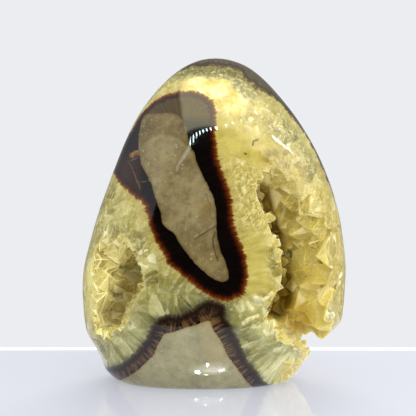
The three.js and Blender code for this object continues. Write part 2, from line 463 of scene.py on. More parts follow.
# %% Solids added to and taken from each other
def baked(made):
    """The object's mesh as its modifiers leave it, with the modifiers removed."""
    bpy.context.view_layer.update()
    result = bpy.data.meshes.new_from_object(made.evaluated_get(bpy.context.evaluated_depsgraph_get()))
    made.modifiers.clear()
    made.data = result
    return made


def join_solids(target, operands, operation):
    """Adds the operands to the target's solid, or takes them away, and removes them."""
    group = bpy.data.collections.new("operands")
    scene.collection.children.link(group)
    for part in operands:
        scene.collection.objects.unlink(part)
        group.objects.link(part)
    cut = target.modifiers.new("solids", "BOOLEAN")
    cut.operation = operation
    cut.operand_type = "COLLECTION"
    cut.collection = group
    cut.solver = "MANIFOLD"
    baked(target)
    for part in operands:
        bpy.data.objects.remove(part)
    bpy.data.collections.remove(group)
    return target


def hollow_air(home, count=44, sides=64):
    shares = np.linspace(0, 1, count)
    rings = section_rings(HOLLOWS[home][0], shares, sides, HOLLOW_SQUARENESS, BARE_WALL)
    return ring_solid(home + "_air", rings)


air = join_solids(hollow_air("right"), [hollow_air("slot"), hollow_air("left")], "UNION")
print("air in the hollows:", len(air.data.polygons), "faces")

# %% Scatter small crystals on the wall of the air
FURTHEST_CRYSTAL = 40  # a crystal further out than this, in mm, hangs in front of the stone
unit_crystal = mesh_from("unit_crystal", crystal_points(1, 1, 0.27), CRYSTAL_FACES)


def scattered(per_square_metre, smallest, largest, seed):
    """Points of small crystals, a block of eight for each one."""
    copy = bpy.data.objects.new("scattered", air.data.copy())
    scene.collection.objects.link(copy)
    growth = copy.modifiers.new("growth", "NODES")
    growth.node_group = crystal_scatter
    sockets = {item.name: item.identifier for item in crystal_scatter.interface.items_tree}
    for name, setting in (
        ("Crystal", unit_crystal),
        ("Crystals per Square Metre", float(per_square_metre)),
        ("Smallest Scale", float(smallest)),
        ("Largest Scale", float(largest)),
        ("Seed", seed),
        ("Finish", crystal_finish),
    ):
        growth[sockets[name]] = setting
    mesh = baked(copy).data
    corners = np.zeros(len(mesh.vertices) * 3)
    mesh.vertices.foreach_get("co", corners)
    bpy.data.objects.remove(copy)
    return list(corners.reshape(-1, 8, 3) / MM)


small_crystals = scattered(60000, 0.9, 2.9, 7)
small_crystals = [points for points in small_crystals if np.abs(points[:, 1]).max() < FURTHEST_CRYSTAL]
print(len(small_crystals), "small crystals near the stone")

# %% [markdown]
# ## The rough side
#
# Below the slot the side broke off and was never ground, so crystals stick out of it a little. The
# break could be sculpted, or pushed out by a noise. But it is calcite too, so crystals of the same kind
# stand on the stone's outline there, sunk for more than half of their size.

# %% Crystals on the rough side below the slot
ROUGH_SEED = 7000
ROUGH_TOP = 13.4  # height of the highest ones, in mm
ROUGH_SIZES = (2.1, 4.2)
SUNK_SHARE = 0.62  # how much of its size each one is set back into the stone


def rough_crystals(count=46):
    """Points of crystals that stick out a little where the side broke off and was never polished."""
    grown = []
    for number in range(count):
        n = ROUGH_SEED + SEED_STEP * number
        size = spread(n + 2, *ROUGH_SIZES)
        height = spread(n, size * 1.15, ROUGH_TOP)
        angle = 2 * math.pi * spread(n + 1, -0.11, 0.12)
        row = outline_rows[np.argmin(np.abs(outline_rows[:, 0] - height))][None]
        foot = section_points(row, np.array([angle]), STONE_SQUARENESS, size * SUNK_SHARE)[0]
        points = crystal_points(size, size * spread(n + 3, 0.8, 1.1), 0.27)
        axis = Vector([spread(n + k, -1, 1) for k in (4, 5, 6)])
        turn = Quaternion(axis, spread(n + 7, 0, 3)).to_matrix()
        grown.append(points @ np.array(turn).T + foot)
    return grown


rough = rough_crystals()
# Under the roof of the slot a few hang, listed one by one: size, then right, back and up.
ROOF_CRYSTALS = [
    (2.1, 36, 9, 19), (1.7, 37.8, 8, 18), (2.3, 39.6, 10, 19.2), (1.6, 41.4, 9, 18.6),
    (1.5, 38.6, 11, 17.4), (1.9, 43.4, 10, 19.6), (1.4, 34.8, 10, 17.8),
]
hanging = [crystal_points(size, size * 1.1, 0.3) + np.array(place) for size, *place in ROOF_CRYSTALS]
print(len(rough), "crystals on the rough side and", len(hanging), "under the slot's roof")


# %% [markdown]
# ## One solid from them all
#
# Nothing parts a real crystal from its wall. Meshes that only stick into each other would look joined
# from afar, but leave faces inside and a hard seam round each foot. Boolean modifiers make one closed
# mesh of them instead. Their manifold solver takes a whole collection of solids in seconds, as long as
# each of them is closed.

# %% Take the crystals out of the air, and the air out of the stone
EDGE_WIDTH = 0.3  # the worn edge of a large crystal, in mm
WORN_SHARE = 0.3  # a face smaller than this share of the largest one is a worn edge


def crystal_solid(name, points, worn):
    """One crystal. Worn edges are marked as smooth, so that they can be found again afterwards."""
    solid = mesh_from(name, points, CRYSTAL_FACES)
    if worn:
        form = bmesh.new()
        form.from_mesh(solid.data)
        bmesh.ops.bevel(form, geom=form.edges[:], offset=EDGE_WIDTH * MM, segments=1, affect="EDGES")
        largest = max(face.calc_area() for face in form.faces)
        for face in form.faces:
            face.smooth = face.calc_area() < WORN_SHARE * largest
        form.to_mesh(solid.data)
        form.free()
    solid.data.materials.append(polished_finish)
    solid.data.materials.append(crystal_finish)
    solid.data.polygons.foreach_set("material_index", [1] * len(solid.data.polygons))
    return solid


for solid in (stone, air):
    solid.data.materials.append(polished_finish)
    solid.data.materials.append(crystal_finish)
air.data.polygons.foreach_set("material_index", [1] * len(air.data.polygons))
join_solids(stone, [crystal_solid(f"rough_{n}", points, False) for n, points in enumerate(rough)], "UNION")
solids = [crystal_solid(f"large_{n}", points, True) for n, points in enumerate(large_crystals)]
solids += [crystal_solid(f"small_{n}", points, False) for n, points in enumerate(small_crystals + hanging)]
join_solids(air, solids, "DIFFERENCE")
join_solids(stone, [air], "DIFFERENCE")
bpy.data.objects.remove(unit_crystal)
print("stone with hollows:", len(stone.data.polygons), "faces")


# %% Drop what floats
def drop_islands(made):
    """Deletes every loose part of a mesh but the largest one."""
    form = bmesh.new()
    form.from_mesh(made.data)
    unseen, parts = set(form.verts), []
    while unseen:
        waiting = [unseen.pop()]
        part = []
        while waiting:
            corner = waiting.pop()
            part.append(corner)
            for line in corner.link_edges:
                other = line.other_vert(corner)
                if other in unseen:
                    unseen.remove(other)
                    waiting.append(other)
        parts.append(part)
    parts.sort(key=len)
    for part in parts[:-1]:
        bmesh.ops.delete(form, geom=part, context="VERTS")
    open_edges = sum(1 for line in form.edges if not line.is_manifold)
    form.to_mesh(made.data)
    form.free()
    return len(parts) - 1, open_edges


floating, open_edges = drop_islands(stone)
print("floating crystals dropped:", floating, "- edges without two faces:", open_edges)

# %% [markdown]
# ## Drawing the dark bands
#
# The bands run round pieces of limestone, which are solids inside the nodule; the saw only happened
# to cut them there. So each piece is described as a solid or as an outline, and each point of the
# mesh is told how far it lies from it. An image would be quicker, but it would stretch round the
# sides and blur up close. The pieces in front are outlines with given points on the upright
# plane through the stone's middle, thrown onto the stone from the camera as from a slide projector.
# The ones at the back are blocks with rounded edges.

# %% Outlines of the limestone and its bands in front
# Points are (right, up) in millimetres on the plane through the middle of the stone.
CENTRAL_WINDOW = [
    (-27, 107.5), (-21.5, 108), (-17, 108), (-13.5, 106.5), (-11.5, 104), (-10.5, 99), (-9.5, 94.5),
    (-8, 91.5), (-6.5, 87), (-4, 81.5), (-1.5, 77), (0.5, 72.5), (1, 67), (1, 61.5), (1.5, 57),
    (3, 51.5), (4.6, 48), (5.8, 44), (5.8, 41), (3.6, 40), (0.5, 41), (-4, 44), (-9.5, 49.5),
    (-13.5, 55), (-16, 59.5), (-20.5, 63), (-21.5, 68), (-23.5, 73.5), (-25, 79), (-28, 84.5),
    (-30, 90), (-30.5, 95.5), (-30, 100.5), (-29, 105),
]
CENTRAL_RIM = [
    (-19.5, 115), (-16.5, 116), (-11.5, 116.5), (-7, 116), (-2.5, 114), (0, 111), (0.5, 107),
    (0.5, 103.5), (0.5, 97), (1.5, 90), (3.5, 83.5), (6, 77), (7, 71.5), (7.5, 65), (9.5, 58),
    (12, 51.5), (13, 45), (13, 39.5), (11.5, 35), (7.5, 33), (3, 33), (-2.5, 35), (-8, 39),
    (-13.5, 43.5), (-18, 47), (-20, 51.5), (-23.5, 57), (-25.5, 62.5), (-27, 68), (-28.5, 72.5),
    (-31.5, 74.5), (-36, 78), (-38.5, 81.5), (-41, 84.5), (-46.5, 89), (-46, 97), (-38.5, 98.5),
    (-33.5, 100.5), (-31, 105), (-28, 109), (-23.5, 113),
]
LOWER_WINDOW = [
    (-3, 24.5), (-6.5, 23), (-12, 21.5), (-16, 20), (-20, 19), (-23, 14), (-24.5, 10.5),
    (-27.5, 7.5), (-30.5, 4.5), (-33.5, 2.5), (-36.5, 1), (-41, -1), (-38, -7.5), (-5.5, -11.5),
    (19.5, -7.5), (14.5, -1.5), (12.5, 1), (9.5, 5), (6.5, 9), (4.5, 12.5), (3, 16), (0, 20.5),
    (-1.5, 24),
]
LOWER_RIM = [
    (-5.5, 31.5), (-2.5, 32.5), (2, 31.5), (4.5, 29), (5, 25.5), (7.5, 21.5), (10, 16), (12, 11),
    (14.5, 6.5), (17.5, 3), (20, 0), (26, -7.5), (6.5, -17.5), (-30, -17.5), (-49, -6.5),
    (-46.5, 3.5), (-43, 5.5), (-39.5, 6), (-36, 7.5), (-32.5, 10.5), (-29.5, 14), (-26.5, 18),
    (-24.5, 22.5), (-22, 25.5), (-19, 26.5), (-15, 26.5), (-10.5, 28),
]
CROWN_RIM = [
    (-13.5, 125.8), (-9, 127), (-3.6, 127), (4.4, 126.9), (9.7, 125.3), (12.5, 122.1), (15.7, 119.7),
    (17.7, 117.7), (22.1, 115.6), (25.4, 113.2), (28.6, 110), (32.6, 105.2), (36.8, 99.2),
    (42.4, 89), (46.1, 80), (49.5, 73), (55, 73), (51, 86), (43, 102),
    (34.5, 116), (26.5, 127), (16.5, 134), (0.5, 137), (-13.5, 134),
]
corner_count = sum(map(len, (CENTRAL_WINDOW, CENTRAL_RIM, LOWER_WINDOW, LOWER_RIM, CROWN_RIM)))
print("points in the five outlines:", corner_count)


# %% Smooth curves through the points
def closed_curve(points, steps=6):
    """A smooth closed curve through the points, as many short straight pieces."""
    points = np.array(points, float)
    before, after, beyond = np.roll(points, 1, 0), np.roll(points, -1, 0), np.roll(points, -2, 0)
    f = (np.arange(steps) / steps)[None, :, None]
    a, b, c, d = before[:, None], points[:, None], after[:, None], beyond[:, None]
    curve = b + 0.5 * f * (c - a + f * (2 * a - 5 * b + 4 * c - d + f * (3 * (b - c) + d - a)))
    return curve.reshape(-1, 2)


print("short pieces round the central window:", len(closed_curve(CENTRAL_WINDOW)))


# %% Distance from an outline
AT_ONCE = 6000  # how many places are worked out together, to spare memory


def outline_distance(places, points):
    """Distance of each place from an outline, below zero inside, and the nearest outline point."""
    start = closed_curve(points)
    step = np.roll(start, -1, 0) - start
    length2 = (step**2).sum(1)
    distance, nearest = np.empty(len(places)), np.empty((len(places), 2))
    for first in range(0, len(places), AT_ONCE):
        now = slice(first, first + AT_ONCE)
        here = places[now, None]
        share = np.clip(((here - start) * step).sum(2) / length2, 0, 1)
        foot = start + share[..., None] * step
        far2 = ((here - foot) ** 2).sum(2)
        best = far2.argmin(1)
        row = np.arange(len(best))
        above = start[None, :, 1] > here[..., 1]
        above_next = np.roll(above, -1, 1)
        rise = np.where(step[:, 1] == 0, 1e-9, step[:, 1])
        crossing = start[:, 0] + (here[..., 1] - start[:, 1]) * step[:, 0] / rise
        inside = ((above != above_next) & (here[..., 0] < crossing)).sum(1) % 2 == 1
        distance[now] = np.sqrt(far2[row, best]) * np.where(inside, -1, 1)
        nearest[now] = foot[row, best]
    return distance, nearest


middle_of_window = np.array([[-15.0, 80.0]])
print("the window's middle lies", outline_distance(middle_of_window, CENTRAL_WINDOW)[0].round(1), "mm out")

# %% The points of the stone, and where the projector sees them
points = np.zeros(len(stone.data.vertices) * 3)
stone.data.vertices.foreach_get("co", points)
points = points.reshape(-1, 3) / MM
normals = np.array([v.vector for v in stone.data.vertex_normals])
rightward = np.array([1, 0, 0])
upward = np.cross(rightward, look)
offset = points - viewpoint
reach = offset @ look
slide = np.stack([offset @ rightward, offset @ upward], axis=1) * (VIEW_DISTANCE / reach)[:, None]
slide += VIEW_TARGET[[0, 2]]
print("the slide spans", slide.min(0).round(1), slide.max(0).round(1))


# %% Distance from a projected outline, along the surface
OUT_OF_REACH = 500  # mm added to what belongs to the back, so that the front's patterns never meet it
ROOT_STEP = 37.0  # mm between the needle patterns of one outline and the next


def projected(outline, behind, name_number):
    """Distance along the stone from an outline in front, which ends a given way behind the middle."""
    distance, nearest = outline_distance(slide, outline)
    toward = slide - nearest
    toward /= np.maximum(np.linalg.norm(toward, axis=1), 1e-6)[:, None]
    across = toward[:, :1] * rightward + toward[:, 1:] * upward
    facing = np.clip(-(normals @ look), 0.3, 1)
    stretch = np.sqrt(1 + ((across * normals).sum(1) / facing) ** 2)
    distance = distance * np.minimum(stretch, 3)
    root = np.column_stack([nearest, np.full(len(nearest), ROOT_STEP * name_number)])
    beyond = points[:, 1] - behind
    use_back = beyond > distance
    root[use_back] = points[use_back] + OUT_OF_REACH
    return np.where(use_back, beyond, distance), root


gap = projected(CENTRAL_RIM, 5, 0)[0]
print("points inside the central band's edge:", int((gap < 0).sum()))


# %% Distance from a block of limestone at the back
GOLDEN_TURN = 2.4  # radians from one facet's direction to the next, which spreads them evenly


def block(centre, radii, turn, facets=9, sharpness=11):
    """Distance along the stone from a block of limestone, and the nearest point on its edge.

    A block is what lies behind a number of planes round its middle. Adding their distances as powers,
    instead of taking the largest one, rounds its edges.
    """
    steps = np.arange(facets) + 0.5
    high = 1 - 2 * steps / facets
    around = steps * GOLDEN_TURN + turn
    level = np.sqrt(1 - high**2)
    planes = np.stack([np.cos(around) * level, np.sin(around) * level, high], axis=1)
    reaches = (points - centre) / radii @ planes.T * sharpness
    furthest = reaches.max(1)
    weights = np.exp(reaches - furthest[:, None])
    size = (furthest + np.log(weights.sum(1))) / sharpness
    slope = weights / weights.sum(1)[:, None] @ planes / radii
    slope_length = np.linalg.norm(slope, axis=1)
    distance = (size - 1) / slope_length
    slope /= slope_length[:, None]
    flat = slope - (slope * normals).sum(1)[:, None] * normals
    tilt = np.clip(np.linalg.norm(flat, axis=1), 0.35, 1)
    root = points - flat * (distance / tilt**2)[:, None]
    return distance / tilt, root


# Each one: its middle, its reach to the side, in depth and upward, and its turn.
BACK_CELLS = [
    ((18, 40, 90), (36, 31, 41), 0.4),
    ((-38, 28, 58), (24, 22, 28), 2.1),
    ((6, 34, 16), (32, 22, 22), 3.6),
    ((-34, 12, 92), (13, 15, 15), 5.2),
]
print("blocks of limestone at the back:", len(BACK_CELLS))

# %% All the pieces of limestone
BAND = 6.5  # thickness of a dark band, in mm
NO_WINDOW = 50.0  # a distance for what has no window
rims, roots, windows = [], [], []
for outline, window, behind in (
    (CENTRAL_RIM, CENTRAL_WINDOW, 5),
    (LOWER_RIM, LOWER_WINDOW, 3),
    (CROWN_RIM, None, 12),
):
    distance, root = projected(outline, behind, len(rims))
    rims.append(distance)
    roots.append(root)
    windows.append(projected(window, behind - BAND, 9)[0] if window else np.full(len(points), NO_WINDOW))
for centre, radii, turn in BACK_CELLS:
    distance, root = block(np.array(centre, float), np.array(radii, float), turn)
    rims.append(distance)
    roots.append(root)
    windows.append(distance + BAND)
rims, windows = np.array(rims), np.array(windows)
nearest_cell = rims.argmin(0)
rim = rims.min(0)
root = np.array(roots)[nearest_cell, np.arange(len(points))]
print("cells that own points:", np.bincount(nearest_cell))


# %% [markdown]
# ## Numbers on the mesh
#
# A shader knows the place of a point, but not how far it lies from a band, or how deep in a fissure.
# Such things could be painted on by hand. Here they are worked out for each point and kept as
# attributes of the mesh, which the shader reads by name, so they are exact and follow every change of
# the shapes.

# %% Write the distances onto the mesh
FADE = 14  # mm over which the lower band's influence on the calcite fades


def number_layer(made, name, values, domain="POINT"):
    layer = made.data.attributes.new(name, "FLOAT", domain)
    layer.data.foreach_set("value", np.asarray(values, np.float32))


def vector_layer(made, name, values):
    layer = made.data.attributes.new(name, "FLOAT_VECTOR", "POINT")
    layer.data.foreach_set("vector", np.asarray(values, np.float32).ravel())


number_layer(stone, "rim", rim)
number_layer(stone, "window", windows.min(0))
number_layer(stone, "cell", nearest_cell)
number_layer(stone, "below", np.exp(-np.maximum(rims[1], 0) / FADE))
vector_layer(stone, "root", root)
print("the bands cover", round(100 * float((rim < 0).mean())), "% of the points")

# %% How deep each point of the crystals lies under the polished outside
outside = KDTree(STONE_RINGS * STONE_SIDES // 4)
for number, place in enumerate(stone_rings[::2, ::2].reshape(-1, 3)):
    outside.insert(place, number)
outside.balance()
material_numbers = np.zeros(len(stone.data.polygons), int)
stone.data.polygons.foreach_get("material_index", material_numbers)
on_polish, on_crystal = [
    {v for face in stone.data.polygons if face.material_index == number for v in face.vertices}
    for number in (0, 1)
]
depth = np.zeros(len(points))
for corner in sorted(on_crystal):
    depth[corner] = outside.find(points[corner])[2]
POLISH_GAP = 0.6  # the polish itself can lie this far from the nearest point that is looked up, in mm
number_layer(stone, "depth", np.maximum(depth - POLISH_GAP, 0))
brink = np.zeros(len(points))
brink[sorted(on_crystal & on_polish)] = 1
number_layer(stone, "brink", brink)
# The third number of the slide is 0 where the slide falls and large on the polish behind.
hidden = (points[:, 1] > 6) & (depth < 1)
vector_layer(stone, "slide", np.column_stack([slide, np.where(hidden, OUT_OF_REACH, 0)]))
print("deepest point of the crystals:", depth.max().round(1), "mm under the polish")

# %% A number by chance for each flat facet
# All the triangles of one facet lie in one plane, so the plane's direction and its distance from the
# middle, rounded, are the same for all of them and serve as its seed.
EDGE_HIGHLIGHT = 0.86  # a worn edge's number, whose pale tint is a painted highlight
centres = np.array([face.center for face in stone.data.polygons]) / MM
directions = np.array([face.normal for face in stone.data.polygons])
plane = np.column_stack([directions * 25, (centres * directions).sum(1)]).round()
dice = np.abs(np.sin(plane @ np.array([12.9898, 78.233, 37.719, 4.581])) * 43758.5453) % 1
smooth = np.zeros(len(dice), bool)
stone.data.polygons.foreach_get("use_smooth", smooth)
dice[smooth & (material_numbers == 1)] = EDGE_HIGHLIGHT
# On the broken side the facets stay clear of the pale tints, so they get no painted highlights.
broken_side = (centres[:, 0] > 28) & (centres[:, 2] < 20)
dice[broken_side] = 0.3 + 0.5 * dice[broken_side]
stone.data.polygons.foreach_set("use_smooth", smooth & (material_numbers == 0))
number_layer(stone, "facet", dice, "FACE")
print("faces of worn edges:", int((smooth & (material_numbers == 1)).sum()))

# %% [markdown]
# ## Colours and node groups
#
# A material here is a long row of masks and tints, one over the other. Its nodes could be dragged
# together by hand, but a few hundred of them are easier to follow as text, so each kind of node gets a
# short method. Colours are written as they would be read off a screen, three numbers from 0 to 255,
# and turned into the linear numbers that Blender's shaders want.

# %% Colours
def linear_part(number):
    """One number of a screen colour, from 0 to 255, as the amount of light it stands for."""
    v = number / 255
    return v / 12.92 if v <= 0.04045 else ((v + 0.055) / 1.055) ** 2.4


def shade(red, green, blue):
    """A screen colour as the linear colour that a shader takes."""
    return (linear_part(red), linear_part(green), linear_part(blue), 1)


def linear_colour(source):
    """A screen colour of three numbers made linear, and anything else as it is."""
    return shade(*source) if isinstance(source, tuple) and len(source) == 3 else source


print("a screen's middle grey is", round(shade(128, 128, 128)[0], 3), "for a shader")


# %% A shorthand for shaders
class Shading(Recipe):
    """The nodes that the materials here use most."""

    def maths(self, operation, first, second=0.0, third=0.0):
        return self.add("ShaderNodeMath", {0: first, 1: second, 2: third}, operation=operation)

    def times(self, first, second):
        return self.maths("MULTIPLY", first, second)

    def plus(self, base, value, factor):
        """The base plus the value times the factor."""
        return self.maths("MULTIPLY_ADD", value, factor, base)

    def sway(self, base, noise, width):
        """The base, pushed up and down by a noise that runs from 0 to 1."""
        return self.plus(base, self.maths("SUBTRACT", noise, 0.5), width)

    def largest(self, first, *others):
        for other in others:
            first = self.maths("MAXIMUM", first, other)
        return first

    def vectors(self, operation, first, second=(0, 0, 0), third=(0, 0, 0), output=0):
        inputs = {0: first, 1: second, 2: third}
        return self.add("ShaderNodeVectorMath", inputs, output=output, operation=operation)

    def split(self, vector, output):
        return self.add("ShaderNodeSeparateXYZ", {0: vector}, output=output)

    def place(self):
        """Object coordinates in millimetres."""
        found = self.add("ShaderNodeTexCoord", output="Object")
        return self.add("ShaderNodeVectorMath", {0: found, "Scale": 1 / MM}, operation="SCALE")

    def layer(self, name, output="Fac"):
        return self.add("ShaderNodeAttribute", output=output, attribute_name=name)

    def noise(self, place, size, detail=2, rough=0.5, warp=0, output="Fac"):
        """Soft noise whose blotches are about as large as size, in millimetres."""
        inputs = {"Vector": place, "Scale": 1 / size, "Distortion": warp}
        inputs |= {"Detail": detail, "Roughness": rough}
        return self.add("ShaderNodeTexNoise", inputs, output=output)

    def shaken(self, place, size, reach, detail=2):
        """The place, moved by a noise in each direction, so that patterns on it come out uneven."""
        push = self.noise(place, size, detail, output="Color")
        return self.vectors("MULTIPLY_ADD", push, (reach,) * 3, place)

    def cells(self, place, size, output="Color", feature="F1"):
        inputs = {"Vector": place, "Scale": 1 / size}
        return self.add("ShaderNodeTexVoronoi", inputs, output=output, feature=feature)

    def joints(self, place, size, width):
        """A mask of the joints between cells."""
        gap = self.cells(place, size, output="Distance", feature="DISTANCE_TO_EDGE")
        return self.between(gap, width, 0.0)

    def between(self, value, low, high, start=0, end=1):
        """Turns low to high into start to end, softly, and holds it there outside."""
        inputs = {"Value": value, "From Min": low, "From Max": high, "To Min": start, "To Max": end}
        return self.add("ShaderNodeMapRange", inputs, interpolation_type="SMOOTHSTEP")

    def near(self, place, spot, far, full):
        """A mask that is one round a spot, up to full, and none beyond far."""
        return self.between(self.vectors("DISTANCE", place, spot, output="Value"), far, full)

    def blend(self, share, first, second, how="MIX"):
        """The first colour, with a share of the second one laid over it."""
        inputs = {0: share, 6: linear_colour(first), 7: linear_colour(second)}
        return self.add("ShaderNodeMix", inputs, output=2, data_type="RGBA", blend_type=how)

    def ramp(self, value, *stops):
        """A colour for each value. A stop is a value and the three numbers of its screen colour."""
        colour = self.add("ShaderNodeValToRGB", {0: value})
        elements = colour.node.color_ramp.elements
        while len(elements) < len(stops):
            elements.new(0.5)
        for element, (position, *tint) in zip(elements, stops):
            element.position = position
            element.color = shade(*tint)
        return colour

    def group(self, tree, inputs):
        """The outputs of a node group placed in the tree."""
        node = self.tree.nodes.new("ShaderNodeGroup")
        node.node_tree = tree
        return self.fill(node, inputs).outputs

    def bump(self, height, distance):
        inputs = {"Strength": 0.4, "Distance": distance * MM, "Height": height}
        return self.add("ShaderNodeBump", inputs, output="Normal")


def group_of(name, inputs, outputs):
    """An empty shader node group with named sockets."""
    tree = bpy.data.node_groups.new(name, "ShaderNodeTree")
    kinds = {"value": "NodeSocketFloat", "vector": "NodeSocketVector", "colour": "NodeSocketColor"}
    for direction, sockets in (("INPUT", inputs), ("OUTPUT", outputs)):
        for socket, kind in sockets.items():
            tree.interface.new_socket(socket, in_out=direction, socket_type=kinds[kind])
    given = tree.nodes.new("NodeGroupInput").outputs
    return Shading(tree), given, tree.nodes.new("NodeGroupOutput")


def filled(material):
    """A material's tree, ready to be filled, and its shader."""
    material.use_nodes = True
    return Shading(material.node_tree), material.node_tree.nodes["Principled BSDF"]


# %% Hairlines: thin cracks and seams between two points
def hairline_group():
    """A mask that is one on the straight line between two points, and falls to none beside it."""
    sockets = {"Place": "vector", "Start": "vector", "End": "vector", "Width": "value"}
    recipe, given, end = group_of("hairline", sockets, {"Mask": "value"})
    line = recipe.vectors("SUBTRACT", given["End"], given["Start"])
    arm = recipe.vectors("SUBTRACT", given["Place"], given["Start"])
    length2 = recipe.vectors("DOT_PRODUCT", line, line, output="Value")
    share = recipe.maths("DIVIDE", recipe.vectors("DOT_PRODUCT", arm, line, output="Value"), length2)
    share = recipe.add("ShaderNodeClamp", {"Value": share})
    foot = recipe.add("ShaderNodeVectorMath", {0: line, "Scale": share}, operation="SCALE")
    away = recipe.vectors("DISTANCE", arm, foot, output="Value")
    mask = recipe.between(away, recipe.times(given["Width"], 0.4), given["Width"], 1, 0)
    recipe.fill(end, {"Mask": mask})
    return recipe.tree


hairline = hairline_group()


def hairlines(recipe, place, corners, width):
    """A mask of a thin line through the corners, given as they lie on the slide in millimetres."""
    mask = 0.0
    for start, end in zip(corners, corners[1:]):
        inputs = {"Place": place, "Start": (*start, 0), "End": (*end, 0), "Width": width}
        mask = recipe.largest(mask, recipe.group(hairline, inputs)["Mask"])
    return mask


print("a hairline takes", len(hairline.nodes), "nodes")

# %% [markdown]
# ## Calcite's own colour
#
# Cut calcite is a mosaic of grains, a few millimetres across, each lighter or darker as its crystal
# lies, with pale joints between them and slanting cracks through them. Here each grain gets a tone by
# chance and painted shade across it, as across a tilted facet under the polish. The polish and the
# crystals are the same mineral, so its colour is made once, as a node group with a place going in and
# a colour coming out, and both materials use it.

# %% A mosaic of grains
GRAIN = 7.5  # size of a large grain, in mm
SMALL_GRAIN = 2.8


def grains(recipe, place, size):
    """A mosaic of grains: a number by chance for each, and a slope that colours use as painted shade."""
    chance_colour = recipe.cells(place, size)
    away = recipe.vectors("SUBTRACT", place, chance_colour.node.outputs["Position"])
    lean = recipe.vectors("MULTIPLY_ADD", chance_colour, (2.4 / size,) * 3, (-1.2 / size,) * 3)
    return recipe.split(chance_colour, "X"), recipe.vectors("DOT_PRODUCT", away, lean, output="Value")


def calcite_cracks(recipe, place):
    """A mask of the joints between grains, and of cleavage cracks, which slant three ways."""
    small = recipe.times(recipe.joints(place, SMALL_GRAIN, 0.1), 0.55)
    cracks = recipe.largest(recipe.joints(place, GRAIN, 0.06), small)
    for turn in (0.7, -0.5, 1.9):
        inputs = {"Vector": place, "Rotation": (0.4 * turn, turn, 0.3), "Scale": (1, 0.7, 0.25)}
        tilted = recipe.add("ShaderNodeMapping", inputs)
        cracks = recipe.largest(cracks, recipe.times(recipe.joints(tilted, 3.4, 0.09), 0.8))
    return cracks


# %% Calcite's tints from place to place
def calcite_tint(recipe, place, shaken, cloud, mosaic):
    """Yellow, greener low down, at the left and near the crown, with clear spots of lemon and gold."""
    height = recipe.split(place, "Z")
    side = recipe.split(place, "X")
    yellow = recipe.ramp(
        mosaic, (0.1, 122, 105, 36), (0.35, 162, 144, 62), (0.6, 189, 172, 86), (0.9, 213, 201, 130)
    )
    green = recipe.ramp(mosaic, (0.1, 92, 94, 44), (0.45, 136, 137, 80), (0.9, 190, 189, 134))
    lemon = recipe.ramp(mosaic, (0.1, 156, 138, 54), (0.45, 200, 184, 92), (0.9, 228, 220, 152))
    low = recipe.times(recipe.between(height, 44, 16), recipe.between(cloud, 0.36, 0.58))
    left = recipe.between(side, 10, -34, 0, 0.4)
    right = recipe.times(recipe.between(side, 8, 24), recipe.between(height, 78, 92, 0, 0.6))
    crowned = recipe.between(height, 118, 124, 0, 0.8)
    colour = recipe.blend(recipe.largest(low, left, right, crowned), yellow, green)
    # The lemon spot under the crown is partly calcite's own colour and partly painted glow, as of light
    # through the thin top.
    for spot, far, full, tint in (
        ((7, -12, 116), 22, 9, lemon),
        ((14, -18, 101), 14, 5, (178, 158, 76)),
        ((-48, -12, 42), 18, 6, lemon),
    ):
        colour = recipe.blend(recipe.near(shaken, spot, far, full), colour, tint)
    # The right side is painted darker: painted shade that tones down the strong light from the right and
    # back.
    colour = recipe.blend(recipe.between(side, 39, 47, 0, 0.7), colour, (164, 144, 62))
    colour = recipe.blend(recipe.near(shaken, (28, -18, 87), 14, 5), colour, (166, 147, 66))
    pools = recipe.between(recipe.noise(shaken, 6, detail=3, rough=0.6), 0.46, 0.64, 0, 0.6)
    pools = recipe.times(pools, recipe.near(shaken, (20, -18, 96), 30, 14))
    return recipe.blend(pools, colour, (150, 128, 42))


# %% The whole group: grains, rime, pale cracks and flashes
def calcite_group():
    """Calcite's colour at a place, and the slope of its grains."""
    recipe, given, end = group_of(
        "calcite colour", {"Place": "vector"}, {"Colour": "colour", "Slope": "value"}
    )
    place = given["Place"]
    shaken = recipe.shaken(place, 7, 7, detail=3)
    number, slope = grains(recipe, shaken, GRAIN)
    small_number, small_slope = grains(recipe, shaken, SMALL_GRAIN)
    slope = recipe.plus(slope, small_slope, 0.4)
    cloud = recipe.noise(place, 14, detail=3, rough=0.6)
    mosaic = recipe.plus(recipe.times(small_number, 0.2), number, 0.5)
    # The slope goes into the colour as painted shade across each grain, as across a tilted facet.
    mosaic = recipe.sway(recipe.plus(mosaic, slope, 0.18), cloud, 0.7)
    colour = calcite_tint(recipe, place, shaken, cloud, recipe.maths("ADD", mosaic, 0.15))
    rime = recipe.noise(place, 0.9, detail=5, rough=0.7, warp=0.5)
    rimed = recipe.times(recipe.between(rime, 0.52, 0.7), recipe.between(cloud, 0.4, 0.62, 0.1, 0.4))
    colour = recipe.blend(rimed, colour, (226, 217, 162))
    colour = recipe.blend(recipe.between(rime, 0.47, 0.3, 0, 0.3), colour, (116, 98, 36))
    cracks = calcite_cracks(recipe, shaken)
    veil = recipe.noise(shaken, 2.6, detail=5, rough=0.65, warp=1.0)
    pale = recipe.times(cracks, recipe.between(veil, 0.46, 0.62, 0.03, 0.7))
    veined = recipe.times(cracks, recipe.near(shaken, (25, -18, 94), 28, 10))
    colour = recipe.blend(recipe.plus(pale, veined, 0.2), colour, (228, 220, 168))
    colour = recipe.blend(recipe.between(veil, 0.48, 0.28, 0, 0.25), colour, (98, 84, 30))
    flash = recipe.times(recipe.between(small_number, 0.84, 0.88), recipe.between(cloud, 0.44, 0.6))
    flash = recipe.times(flash, recipe.between(small_slope, -0.5, 0.4, 0.3, 1))
    colour = recipe.blend(recipe.times(flash, 0.8), colour, (244, 238, 200))
    recipe.fill(end, {"Colour": colour, "Slope": slope})
    return recipe.tree


calcite_colour = calcite_group()
print("calcite's colour takes", len(calcite_colour.nodes), "nodes")

